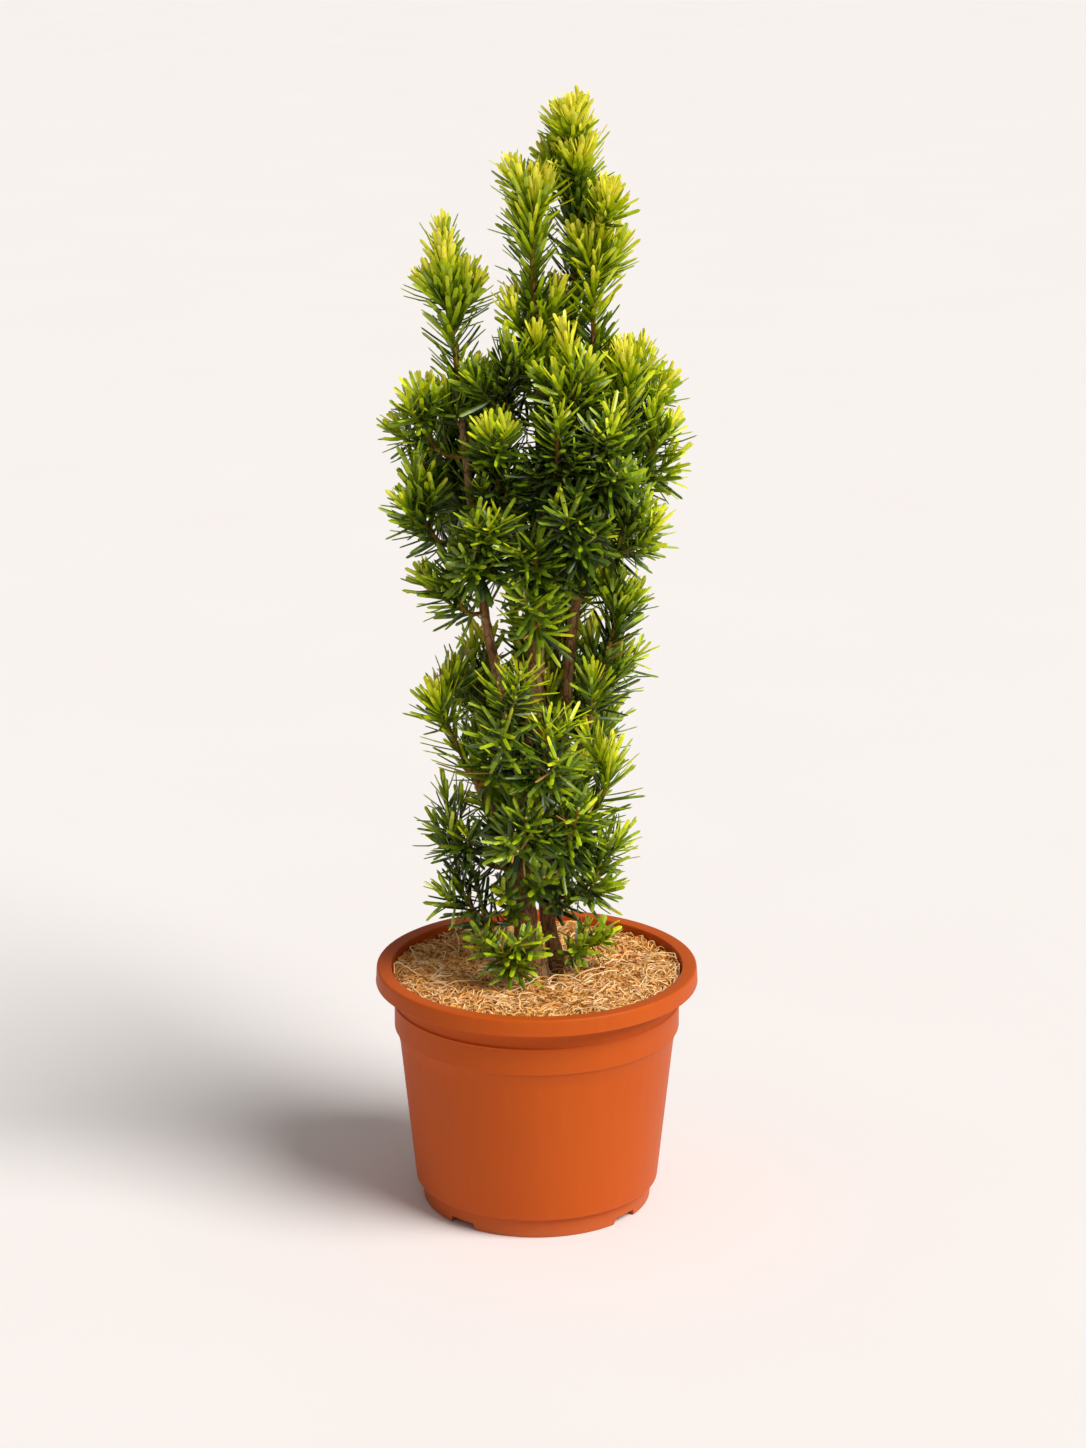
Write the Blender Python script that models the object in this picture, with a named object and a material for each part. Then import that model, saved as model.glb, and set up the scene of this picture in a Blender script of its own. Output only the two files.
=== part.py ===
"""Golden upright English yew of several stems, in the round plastic pot it grows in.

Metres, +Z up, X to the right and Y to the back. The origin is the centre of the pot's flat
underside. Tables of limbs and foliage are in millimetres, as their comments say.
"""
import math
import random

import bmesh
import bpy
import numpy as np
from mathutils import Matrix, Vector

MM = 0.001
# Clear space between neighbouring pieces.
GAP = 0.3 * MM
# Vertices nearer than this are one.
MERGE = 0.01 * MM
# Edges sharper than these, in degrees, stay sharp on turned pieces, on fibre and on limbs.
TURNED_SHARP = 30
FIBRE_SHARP = 60
LIMB_SHARP = 50
SEED = 29

# Pot: a moulded three litre grower's pot with a rolled lip, a collar and a stepped foot.
POT_HEIGHT = 146 * MM
POT_SIDES = 40
POT_WALL = 2.0 * MM
FOOT_RADIUS = 68.0 * MM
FOOT_FLARE = 0.7 * MM
FOOT_HEIGHT = 12.0 * MM
FOOT_STEP = 3.6 * MM
COLLAR_HEIGHT = 100.5 * MM
COLLAR_SLANT = 7.5 * MM
BODY_TOP_RADIUS = 81.4 * MM
COLLAR_RADIUS = 84.4 * MM
COLLAR_FLARE = 0.7 * MM
LIP_RADIUS = 95.0 * MM
LIP_HEIGHT = 10.0 * MM
LIP_ROUND = 1.6 * MM
MOUTH_RADIUS = 86.0 * MM
FLOOR_HEIGHT = 6.0 * MM
RECESS_DEPTH = 2.5 * MM
RECESS_INNER = 36.0 * MM
RECESS_OUTER = 61.0 * MM
# Broken edges: of the foot and the lip's underside, of the step above the foot, of the mouth.
EDGE_BREAK = 0.8 * MM
STEP_BREAK = 1.6 * MM
STEP_DIP = 0.4 * MM
LIP_UNDERCUT = 0.6 * MM
MOUTH_BREAK = 0.8 * MM
MOUTH_CHAMFER = 0.8 * MM
# Inside the lip the wall stands almost upright, and flares over this height above the lip's foot.
MOUTH_DRAFT = 0.3 * MM
MOUTH_FLARE = 1.8 * MM
LIP_ARC_STEPS = 3
# Inside, the floor's well is as wide as the foot allows, and the wall steps out above it.
WELL_RADIUS = FOOT_RADIUS - POT_WALL
WELL_STEP = 2.0 * MM
STEP_TOP = FOOT_HEIGHT + 3.0 * MM

# Drain notches in the foot's lower edge, a quarter turn apart, 0 degrees being the front.
NOTCH_COUNT = 4
NOTCH_FIRST = 50.0
NOTCH_WIDTH = 22.0 * MM
NOTCH_HEIGHT = 4.0 * MM
NOTCH_SLANT = 3.0 * MM
# How far the cutter runs past the foot's outer face and into its inner one.
NOTCH_PAST = 5.0 * MM
NOTCH_INTO = 3.0 * MM

# Compost, and the layer of coir fibre that lies on it round the stems.
SOIL_TOP = 134.2 * MM
SOIL_SIDES = 36
MULCH_THICKNESS = 3.6 * MM
MULCH_SWELL = 1.6 * MM
MULCH_RINGS = 4
MULCH_HOLE = 21.0 * MM
MULCH_CENTRE = Vector((2.0 * MM, 3.0 * MM, 0.0))
# The mulch reaches out to the lip, and its lower edge is drawn in and raised along the flare.
MULCH_RADIUS = MOUTH_RADIUS - 1.1 * MM
MULCH_DRAWN_IN = 2.5 * MM
MULCH_FOOT_RISE = 1.8 * MM
# The mulch's top is the sum of two waves, one across and back, and a lower one aslant. Each
# length is a wave's, divided by tau, and the middle and the swing are shares of the swell.
SWELL_ACROSS = 11 * MM
SWELL_BACK = 13 * MM
SWELL_ASLANT = 7 * MM
SWELL_SHIFT = 0.6
ASLANT_SHARE = 0.6
SWELL_MIDDLE = 0.5
SWELL_SWING = 0.4
# The hole's edge goes in and out three and seven times a turn, by these shares of its radius.
HOLE_LOBES = 0.12
HOLE_TEETH = 0.08
# The mulch thins to this share of its height at the hole's edge.
MULCH_EDGE = 0.15
MULCH_EDGE_RISE = 2.2
# Nothing of the foliage hangs lower than this.
MULCH_CLEAR = SOIL_TOP + MULCH_THICKNESS + 3 * MULCH_SWELL

# Limbs, in millimetres: carrier, height at which the limb leaves it, radius at the foot and at
# the tip, sides, and way points. A limb with no carrier stands on the compost.
LIMB_STEP = 21.0 * MM
ROOT_FLARE = 0.42
ROOT_FLARE_HEIGHT = 9.0 * MM
# A limb thins faster near its foot where this is under 1.
LIMB_TAPER = 0.85
# Limbs further apart than this, past their own radii, need no cut.
LIMB_NEAR = 2.0 * MM
FOOT_MM = (SOIL_TOP + GAP) / MM
LIMBS = {
    "trunk": (None, 0, 8.0, 1.9, 8,
              [(-2, 0, FOOT_MM), (-8, 0, 190), (-4, 2, 250), (0, 1, 340), (3, -2, 432),
               (-2, -2, 545)]),
    "stem_right": (None, 0, 4.6, 1.8, 7,
                   [(13, 10, FOOT_MM), (5, 10, 190), (14, 4, 262), (21, 0, 355), (33, 4, 440),
                    (32, 2, 520)]),
    "leader_left": ("trunk", 228, 4.0, 1.8, 6, [(-17, -4, 300), (-31, -7, 370), (-45, -2, 502)]),
    "leader_top": ("trunk", 254, 3.2, 1.8, 6, [(9, 17, 320), (17, 20, 430), (21, 10, 538)]),
    "leader_back": ("trunk", 200, 3.0, 1.7, 6, [(-3, 24, 290), (-4, 33, 345), (-22, 40, 417)]),
    "leader_back_right": ("stem_right", 226, 2.8, 1.7, 6,
                          [(18, 26, 290), (22, 35, 350), (38, 42, 422)]),
    "bough_right": ("stem_right", 362, 2.4, 1.6, 6, [(37, -6, 401), (49, -8, 462)]),
    "branch_right_mid": ("stem_right", 258, 2.2, 1.5, 5, [(27, -5, 284), (40, -6, 336)]),
    "branch_right_low": ("stem_right", 208, 2.0, 1.5, 5, [(24, -6, 228), (34, -10, 244)]),
    "branch_left_low": ("trunk", 214, 2.2, 1.5, 5, [(-28, -5, 246), (-47, -6, 284)]),
    "branch_back_low": ("trunk", 170, 2.4, 1.6, 5, [(-12, 22, 208), (-24, 34, 248)]),
    "branch_back_right": ("stem_right", 168, 2.3, 1.6, 5, [(18, 26, 200), (26, 36, 234)]),
}

# Foliage, in millimetres: the limb that carries the mass, the height on that limb at which its
# stem leaves, None for the limb's tip, and the point that its stem reaches.
MASSES = {
    "plume_top": ("leader_top", None, (25, 8, 643)),
    "plume_centre": ("trunk", None, (0, -4, 606)),
    "plume_right_top": ("stem_right", None, (41, 0, 598)),
    "plume_left": ("leader_left", None, (-51, -2, 566)),
    "plume_back": ("leader_back", None, (-27, 42, 488)),
    "plume_back_right": ("leader_back_right", None, (42, 42, 490)),
    "plume_right_shoulder": ("bough_right", None, (48, -6, 508)),
    "plume_right_mid": ("branch_right_mid", None, (49, -9, 365)),
    "plume_right_low": ("branch_right_low", None, (42, -14, 270)),
    "plume_left_low": ("branch_left_low", None, (-54, -8, 314)),
    "plume_back_low": ("branch_back_low", None, (-32, 44, 300)),
    "plume_back_right_low": ("branch_back_right", None, (28, 45, 286)),
    "spray_top_back": ("leader_top", 470, (6, 42, 528)),
    "spray_golden_centre": ("trunk", 452, (16, -22, 524)),
    "spray_left_inner": ("trunk", 470, (-17, -14, 516)),
    "spray_right_outer": ("bough_right", 432, (66, 2, 474)),
    "spray_right_front": ("stem_right", 430, (42, -34, 482)),
    "spray_right_low": ("bough_right", 398, (56, -22, 440)),
    "spray_right_back": ("stem_right", 450, (60, 30, 506)),
    "spray_left_upper": ("leader_left", 452, (-63, -6, 490)),
    "spray_left_mid": ("leader_left", 400, (-69, -12, 450)),
    "spray_left_front": ("leader_left", 386, (-34, -45, 424)),
    "spray_left_inner_front": ("leader_left", 424, (-22, -26, 474)),
    "spray_left_low": ("leader_left", 362, (-46, -17, 398)),
    "spray_left_back": ("leader_left", 418, (-52, 26, 468)),
    "spray_centre_front": ("trunk", 432, (12, -46, 482)),
    "spray_centre_low": ("trunk", 378, (0, -44, 410)),
    "spray_stem_star": ("trunk", 350, (2, -35, 375)),
    "spray_back_mid": ("leader_back", 362, (4, 60, 412)),
    "spray_back_left": ("leader_back", 372, (-46, 54, 422)),
    "spray_back_right": ("leader_back_right", 380, (48, 58, 434)),
    "spray_left_stem": ("trunk", 286, (-37, 20, 336)),
    "spray_front_left": ("leader_left", 284, (-22, -38, 328)),
    "spray_front_star": ("trunk", 258, (6, -40, 304)),
    "spray_left_base": ("trunk", 204, (-53, -4, 254)),
    "spray_front_base": ("trunk", 220, (-6, -45, 250)),
    "spray_right_skirt": ("stem_right", 184, (38, -16, 222)),
    "spray_left_skirt": ("trunk", 172, (-46, -18, 208)),
    "spray_left_bough": ("branch_left_low", 258, (-30, -30, 294)),
    "spray_right_bough": ("branch_right_mid", 296, (44, 14, 334)),
    "spray_front_right": ("stem_right", 220, (24, -40, 254)),
    "spray_right_centre": ("stem_right", 394, (22, -46, 438)),
    "spray_back_stem": ("leader_back", 262, (6, 52, 318)),
    "spray_foot_front": ("trunk", 147, (-21, -38, 170)),
    "spray_foot_right": ("stem_right", 148, (28, -4, 168)),
}

# Shoots: a slim three-sided core, twisted like a screw, whose faces rise into needles.
CORE_SIDES = 3
CORE_TWIST = math.radians(47.0)
RING_STEP = 5.7 * MM
CORE_FOOT = 1.6 * MM
MAIN_CORE = 4.4 * MM
SIDE_CORE = 3.9 * MM
CORE_TIP = 3.2 * MM
NEEDLE_LENGTH = 25.0 * MM
NEEDLE_YOUNG = 0.62
# Needles lean ahead by these angles at a shoot's foot and at its tip, and are shorter at the tip.
# The two powers set how late along the shoot that change comes.
NEEDLE_SPREAD = (16.0, 56.0)
SPREAD_POWER = 2
YOUNG_POWER = 3
NEEDLE_TRIES = (1.0, 0.8, 0.6, 0.45)
NEEDLE_HALF = 0.5 * RING_STEP
BARE_FOOT = 7.0 * MM
# Side shoots stand closer on a mass at a limb's tip than on one at a limb's side.
SIDE_SPACING_TIP = 15.0 * MM
SIDE_SPACING = 25.0 * MM
SIDE_LENGTH = 31.0 * MM
SIDE_ANGLE = 36.0
# On a mass at a limb's tip they are shorter and close up beside their parent, as in a brush.
PLUME_LENGTH = 28.0 * MM
PLUME_ANGLE = 27.0
SIDE_ROOM = 9.0 * MM
# Side shoots start this share of the way up their parent, and are spread over this much of it.
SIDE_FROM = 0.28
SIDE_RUN = 0.5
# Each keeps to this part of its own stretch of the parent.
SIDE_SPOT = (0.2, 0.8)
# Their length varies by these factors, and falls from the parent's foot towards its tip.
SIDE_VARY = (0.75, 1.1)
SIDE_AT_FOOT = 1.15
SIDE_FALL = 0.5
# A side shoot's end lies this share of its length out, and this share up.
SIDE_OUT = 0.8
SIDE_UP = 0.35
SIDE_BEND = 0.5
# A mass's own stem keeps its first direction for about this share of its length.
STEM_BEND_TIP = 0.5
STEM_BEND_SIDE = 0.55
GOLDEN_ANGLE = math.radians(137.508)
TURN_VARY = 0.4
# A needle's checked points, and how thick it still is at its tip.
NEEDLE_SPOTS = (0.3, 0.65, 1.0)
NEEDLE_TIP = 0.5 * MM
BUD_SHARE = 0.4
# Directions that no limb or shoot follows, from which their frames are turned.
RING_HINT = (0.31, 0.95, 0.05)
SIDE_HINT = (0.3, 0.2, 0.9)


# Scene and materials

def clear_scene():
    for thing in list(bpy.data.objects):
        bpy.data.objects.remove(thing, do_unlink=True)


def material(name, colour, roughness, metallic=0.0):
    paint = bpy.data.materials.new(name)
    paint.use_nodes = True
    shader = paint.node_tree.nodes["Principled BSDF"]
    shader.inputs["Base Color"].default_value = (*colour, 1.0)
    shader.inputs["Roughness"].default_value = roughness
    shader.inputs["Metallic"].default_value = metallic
    paint.diffuse_color = (*colour, 1.0)
    return paint


def make_object(name, bm, paint, smooth_angle=None):
    bmesh.ops.recalc_face_normals(bm, faces=bm.faces)
    mesh = bpy.data.meshes.new(name)
    bm.to_mesh(mesh)
    bm.free()
    if smooth_angle is not None:
        mesh.shade_smooth()
        mesh.set_sharp_from_angle(angle=math.radians(smooth_angle))
    thing = bpy.data.objects.new(name, mesh)
    thing.data.materials.append(paint)
    bpy.context.scene.collection.objects.link(thing)
    return thing


def apply_boolean(thing, operation, cutter=None, collection=None):
    step = thing.modifiers.new("join", "BOOLEAN")
    step.operation = operation
    step.solver = "EXACT"
    if collection is None:
        step.object = cutter
    else:
        step.operand_type = "COLLECTION"
        step.collection = collection
    state = bpy.context.evaluated_depsgraph_get()
    result = bpy.data.meshes.new_from_object(thing.evaluated_get(state))
    thing.modifiers.clear()
    thing.data = result


def keep_largest_body(thing):
    """Drop the loose scraps and sealed pockets that a cut or a join leaves."""
    bm = bmesh.new()
    bm.from_mesh(thing.data)
    bodies = []
    left = set(bm.faces)
    while left:
        body = [left.pop()]
        for face in body:
            near = {other for edge in face.edges for other in edge.link_faces} & left
            left -= near
            body.extend(near)
        bodies.append(body)
    bodies.sort(key=len)
    scraps = [face for body in bodies[:-1] for face in body]
    bmesh.ops.delete(bm, geom=scraps, context="FACES")
    bmesh.ops.triangulate(bm, faces=bm.faces)
    bm.to_mesh(thing.data)
    bm.free()


# Turned pieces

def turned(name, profile, sides, paint):
    """Spin a profile of (radius, height) points, both ends on the axis, about Z."""
    bm = bmesh.new()
    verts = [bm.verts.new((radius, 0, height)) for radius, height in profile]
    edges = [bm.edges.new(pair) for pair in zip(verts, verts[1:])]
    bmesh.ops.spin(bm, geom=verts + edges, axis=(0, 0, 1), cent=(0, 0, 0),
                   angle=math.tau, steps=sides, use_merge=True)
    bmesh.ops.remove_doubles(bm, verts=bm.verts, dist=MERGE)
    return make_object(name, bm, paint, TURNED_SHARP)


def body_radius(height):
    """Outer radius of the tapering body between the foot and the collar."""
    share = (height - FOOT_HEIGHT) / (COLLAR_HEIGHT - FOOT_HEIGHT)
    return FOOT_RADIUS + FOOT_FLARE + FOOT_STEP + share * (
        BODY_TOP_RADIUS - FOOT_RADIUS - FOOT_FLARE - FOOT_STEP)


def wall_radius(height):
    """Inner radius of the pot, up to the collar and above it."""
    if height < COLLAR_HEIGHT:
        return body_radius(height) - POT_WALL
    share = (height - COLLAR_HEIGHT) / (POT_HEIGHT - LIP_HEIGHT - COLLAR_HEIGHT)
    return BODY_TOP_RADIUS - POT_WALL + share * (COLLAR_RADIUS - BODY_TOP_RADIUS + COLLAR_FLARE)


def notch_cutter(index):
    """A block with slanted ends, below the foot's edge."""
    bm = bmesh.new()
    bmesh.ops.create_cube(bm, size=1.0)
    near = RECESS_OUTER - NOTCH_INTO
    depth = FOOT_RADIUS + NOTCH_PAST - near
    bmesh.ops.scale(bm, vec=(NOTCH_WIDTH, depth, 2 * NOTCH_HEIGHT), verts=bm.verts)
    for vert in bm.verts:
        if vert.co.z > 0:
            vert.co.x -= math.copysign(NOTCH_SLANT, vert.co.x)
    bmesh.ops.translate(bm, vec=(0, -near - depth / 2, 0), verts=bm.verts)
    turn = math.radians(NOTCH_FIRST + 360.0 / NOTCH_COUNT * index)
    bmesh.ops.rotate(bm, cent=(0, 0, 0), matrix=Matrix.Rotation(turn, 3, "Z"), verts=bm.verts)
    return bm


def make_pot(paint):
    lip_foot = POT_HEIGHT - LIP_HEIGHT
    outer = [
        (0, 0), (RECESS_INNER, 0), (RECESS_INNER, RECESS_DEPTH), (RECESS_OUTER, RECESS_DEPTH),
        (RECESS_OUTER, 0), (FOOT_RADIUS - EDGE_BREAK, 0), (FOOT_RADIUS, EDGE_BREAK),
        (FOOT_RADIUS + FOOT_FLARE, FOOT_HEIGHT),
        (body_radius(FOOT_HEIGHT) - EDGE_BREAK, FOOT_HEIGHT + STEP_DIP),
        (body_radius(FOOT_HEIGHT + STEP_BREAK), FOOT_HEIGHT + STEP_BREAK),
        (BODY_TOP_RADIUS, COLLAR_HEIGHT),
        (COLLAR_RADIUS, COLLAR_HEIGHT + COLLAR_SLANT),
        (COLLAR_RADIUS + COLLAR_FLARE, lip_foot),
        (LIP_RADIUS - LIP_UNDERCUT, lip_foot),
        (LIP_RADIUS, lip_foot + EDGE_BREAK),
    ]
    lip = []
    for step in range(LIP_ARC_STEPS + 1):
        turn = math.radians(90 / LIP_ARC_STEPS * step)
        lip.append((LIP_RADIUS - LIP_ROUND + LIP_ROUND * math.cos(turn),
                    POT_HEIGHT - LIP_ROUND + LIP_ROUND * math.sin(turn)))
    inner = [
        (MOUTH_RADIUS + MOUTH_CHAMFER, POT_HEIGHT),
        (MOUTH_RADIUS, POT_HEIGHT - MOUTH_BREAK),
        (MOUTH_RADIUS - MOUTH_DRAFT, lip_foot + MOUTH_FLARE),
        (wall_radius(lip_foot), lip_foot),
        (wall_radius(COLLAR_HEIGHT), COLLAR_HEIGHT),
        (wall_radius(STEP_TOP), STEP_TOP),
        (WELL_RADIUS + FOOT_FLARE, STEP_TOP - WELL_STEP),
        (WELL_RADIUS, FLOOR_HEIGHT),
        (0, FLOOR_HEIGHT),
    ]
    pot = turned("pot", outer + lip + inner, POT_SIDES, paint)
    for index in range(NOTCH_COUNT):
        cutter = make_object("notch_cutter", notch_cutter(index), paint)
        cutter.hide_render = True
        cutter.display_type = "WIRE"
        apply_boolean(pot, "DIFFERENCE", cutter=cutter)
        bpy.data.objects.remove(cutter, do_unlink=True)
    return pot


def make_soil(paint):
    foot = FLOOR_HEIGHT + GAP
    profile = [
        (0, foot),
        (WELL_RADIUS - 2 * GAP, foot),
        (WELL_RADIUS + FOOT_FLARE - 2 * GAP, STEP_TOP - WELL_STEP + GAP),
        (wall_radius(STEP_TOP) - 2 * GAP, STEP_TOP + GAP),
        (wall_radius(COLLAR_HEIGHT) - 2 * GAP, COLLAR_HEIGHT),
        (wall_radius(SOIL_TOP) - 2 * GAP, SOIL_TOP),
        (0, SOIL_TOP),
    ]
    return turned("soil", profile, SOIL_SIDES, paint)


def mulch_height(x, y):
    """Uneven top of the fibre, in low swells."""
    wave = math.sin(x / SWELL_ACROSS + SWELL_SHIFT) * math.cos(y / SWELL_BACK)
    wave += ASLANT_SHARE * math.sin((x + y) / SWELL_ASLANT)
    return SOIL_TOP + GAP + MULCH_THICKNESS + MULCH_SWELL * (SWELL_MIDDLE + SWELL_SWING * wave)


def hole_radius(turn):
    """Radius of the ragged hole round the stems, in one direction."""
    return MULCH_HOLE * (1 + HOLE_LOBES * math.sin(3 * turn) + HOLE_TEETH * math.sin(7 * turn + 1))


def make_mulch(paint):
    """A ring of fibre between the pot's wall and a ragged hole round the stems."""
    bm = bmesh.new()
    loops = []
    for ring in range(MULCH_RINGS + 1):
        share = ring / MULCH_RINGS
        made = bmesh.ops.create_circle(bm, segments=SOIL_SIDES, radius=MULCH_RADIUS)["verts"]
        for vert in made:
            turn = math.atan2(vert.co.y, vert.co.x)
            hole = hole_radius(turn)
            inner = Vector((hole * math.cos(turn), hole * math.sin(turn), 0)) + MULCH_CENTRE
            place = vert.co.lerp(inner, share)
            fade = min(1.0, MULCH_EDGE_RISE * (1 - share) + MULCH_EDGE)
            top = mulch_height(place.x, place.y) - SOIL_TOP - GAP
            vert.co = (place.x, place.y, SOIL_TOP + GAP + top * fade)
        loops.append({edge for vert in made for edge in vert.link_edges})
    for one, two in zip(loops, loops[1:]):
        bmesh.ops.bridge_loops(bm, edges=list(one | two))
    base = bmesh.ops.duplicate(bm, geom=bm.verts[:] + bm.edges[:] + bm.faces[:])["geom"]
    drawn_in = 1 - MULCH_DRAWN_IN / MULCH_RADIUS
    for vert in (item for item in base if isinstance(item, bmesh.types.BMVert)):
        vert.co.z = SOIL_TOP + GAP
        if vert.co.xy.length > MULCH_RADIUS - GAP:
            bmesh.ops.scale(bm, vec=(drawn_in, drawn_in, 1), verts=[vert])
            vert.co.z += MULCH_FOOT_RISE
    rims = [edge for edge in bm.edges if edge.is_boundary]
    middle = (MULCH_RADIUS + MULCH_HOLE) / 2
    for keep_outer in (True, False):
        rim = [edge for edge in rims if (edge.verts[0].co.xy.length > middle) == keep_outer]
        bmesh.ops.bridge_loops(bm, edges=rim)
    return make_object("mulch", bm, paint, FIBRE_SHARP)


# Curves and frames

def unit(vector):
    return vector / np.linalg.norm(vector)


def smooth_path(points, step):
    """Points about one step apart on a Catmull-Rom curve through the given ones."""
    ends = [2 * points[0] - points[1]] + list(points) + [2 * points[-1] - points[-2]]
    path = [points[0]]
    for a, b, c, d in zip(ends, ends[1:], ends[2:], ends[3:]):
        count = max(1, round(np.linalg.norm(c - b) / step))
        for index in range(1, count + 1):
            t = index / count
            path.append(0.5 * (2 * b + (c - a) * t + (2 * a - 5 * b + 4 * c - d) * t * t
                               + (3 * b - a - 3 * c + d) * t ** 3))
    return np.array(path)


def bent_path(start, bend, end, step):
    """Points about one step apart on a curve that leaves start towards bend."""
    count = max(2, round(np.linalg.norm(end - start) / step))
    t = np.linspace(0, 1, count + 1)[:, None]
    return (1 - t) ** 2 * start + 2 * t * (1 - t) * bend + t ** 2 * end


def tangents(path):
    """Direction of a path at each of its points."""
    return np.array([unit(row) for row in np.gradient(path, axis=0)])


def ring_turns(path, level_foot, twist):
    """One matrix for each point, whose Z follows the path, each turned on from the last by twist."""
    along = tangents(path)
    if level_foot:
        along[0] = (0, 0, 1)
    side = unit(np.cross(along[0], RING_HINT))
    turns = []
    for index, (point, ahead) in enumerate(zip(path, along)):
        side = unit(side - ahead * np.dot(side, ahead))
        across = np.cross(ahead, side)
        placed = Matrix((
            (side[0], across[0], ahead[0], point[0]),
            (side[1], across[1], ahead[1], point[1]),
            (side[2], across[2], ahead[2], point[2]),
            (0, 0, 0, 1)))
        turns.append(placed @ Matrix.Rotation(twist * index, 4, "Z"))
    return turns


def distance(point, starts, ends):
    """Distance from one point to each of many straight pieces."""
    run = ends - starts
    share = np.einsum("ij,ij->i", point - starts, run) / np.einsum("ij,ij->i", run, run)
    nearest = starts + np.clip(share, 0, 1)[:, None] * run
    return np.linalg.norm(point - nearest, axis=1)


def distance_to_path(point, path):
    return distance(point, path[:-1], path[1:]).min()


def tube(path, radii, sides, level_foot=False, twist=0.0):
    """A capped tube, ring by ring, with its rows of side faces."""
    bm = bmesh.new()
    turns = ring_turns(path, level_foot, twist)
    made = bmesh.ops.create_circle(bm, cap_ends=True, segments=sides, radius=radii[0], matrix=turns[0])
    cap = made["verts"][0].link_faces[0]
    rows = []
    for index in range(1, len(path)):
        grown = bmesh.ops.extrude_face_region(bm, geom=[cap])["geom"]
        if index > 1:
            bmesh.ops.delete(bm, geom=[cap], context="FACES_ONLY")
        grow = Matrix.Scale(radii[index] / radii[index - 1], 4)
        move = turns[index] @ grow @ turns[index - 1].inverted()
        ring = [item for item in grown if isinstance(item, bmesh.types.BMVert)]
        bmesh.ops.transform(bm, matrix=move, verts=ring)
        cap = next(item for item in grown if isinstance(item, bmesh.types.BMFace))
        rows.append([face for edge in cap.edges for face in edge.link_faces if face is not cap])
    return bm, rows, cap


# Limbs

def limb_plan():
    """Axis and radius of every limb, worked out from the table."""
    plan = {}
    for name, (carrier, height, foot, tip, sides, way) in LIMBS.items():
        points = [np.array(point) * MM for point in way]
        if carrier:
            points.insert(0, point_at(plan[carrier]["path"], height * MM))
        path = smooth_path(points, LIMB_STEP)
        share = np.linspace(0, 1, len(path))
        radii = (foot + (tip - foot) * share ** LIMB_TAPER) * MM
        if carrier is None:
            radii = radii * (1 + ROOT_FLARE * np.exp(-(path[:, 2] - path[0, 2]) / ROOT_FLARE_HEIGHT))
        plan[name] = {"path": path, "radii": radii, "sides": sides, "carrier": carrier}
    return plan


def point_at(path, height):
    """Point where a rising path crosses a height."""
    return np.array([np.interp(height, path[:, 2], path[:, axis]) for axis in range(3)])


def make_limbs(plan, paint):
    """Each limb is cut clear of those made before it."""
    made = {}
    for name, limb in plan.items():
        bm, _, _ = tube(limb["path"], limb["radii"], limb["sides"], limb["carrier"] is None)
        thing = make_object(name, bm, paint, LIMB_SHARP)
        for other in made:
            near = plan[other]
            if not limbs_near(limb, near):
                continue
            room = GAP / math.cos(math.pi / near["sides"])
            bm, _, _ = tube(near["path"], near["radii"] + room, near["sides"], near["carrier"] is None)
            cutter = make_object("limb_cutter", bm, paint)
            apply_boolean(thing, "DIFFERENCE", cutter=cutter)
            bpy.data.objects.remove(cutter, do_unlink=True)
            keep_largest_body(thing)
        made[name] = thing


def limbs_near(limb, other):
    reach = limb["radii"].max() + other["radii"].max() + LIMB_NEAR
    for point in limb["path"]:
        if distance_to_path(point, other["path"]) < reach:
            return True
    return False


# Growth of the foliage

def main_axis(plan, limb_name, height, reach):
    """The curve of a mass's own stem, from 0.3 mm clear of its limb to the point it reaches."""
    limb = plan[limb_name]
    path = limb["path"]
    end = np.array(reach) * MM
    if height is None:
        out = tangents(path)[-1]
        start = path[-1] + out * GAP
        bend = start + out * STEM_BEND_TIP * np.linalg.norm(end - start)
    else:
        foot = point_at(path, height * MM)
        ahead = unit(point_at(path, (height + 2) * MM) - foot)
        out = end - foot
        out = unit(out - ahead * np.dot(out, ahead))
        radius = np.interp(height * MM, path[:, 2], limb["radii"])
        start = foot + out * (radius + GAP)
        bend = start + out * STEM_BEND_SIDE * np.linalg.norm(end - start)
    return bent_path(start, bend, end, RING_STEP)


def grow_shoots(plan):
    """Main shoots from the table, then side shoots by a seeded rule where there is room."""
    rng = random.Random(SEED)
    shoots = []
    for name, row in MASSES.items():
        shoots.append({"mass": name, "path": main_axis(plan, *row), "core": MAIN_CORE})
    for parent in list(shoots):
        path = parent["path"]
        spacing, full, lean = SIDE_SPACING, SIDE_LENGTH, SIDE_ANGLE
        if MASSES[parent["mass"]][1] is None:
            spacing, full, lean = SIDE_SPACING_TIP, PLUME_LENGTH, PLUME_ANGLE
        length = np.linalg.norm(np.diff(path, axis=0), axis=1).sum()
        turn = rng.uniform(0, math.tau)
        count = max(1, round(length / spacing))
        for index in range(count):
            turn += GOLDEN_ANGLE + rng.uniform(-TURN_VARY, TURN_VARY)
            where = SIDE_FROM + SIDE_RUN * (index + rng.uniform(*SIDE_SPOT)) / count
            reach = full * rng.uniform(*SIDE_VARY) * (SIDE_AT_FOOT - SIDE_FALL * where)
            side = side_axis(path, where, turn, reach, lean)
            if has_room(side, parent, shoots, plan):
                shoots.append({"mass": parent["mass"], "path": side, "core": SIDE_CORE})
    return shoots


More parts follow.
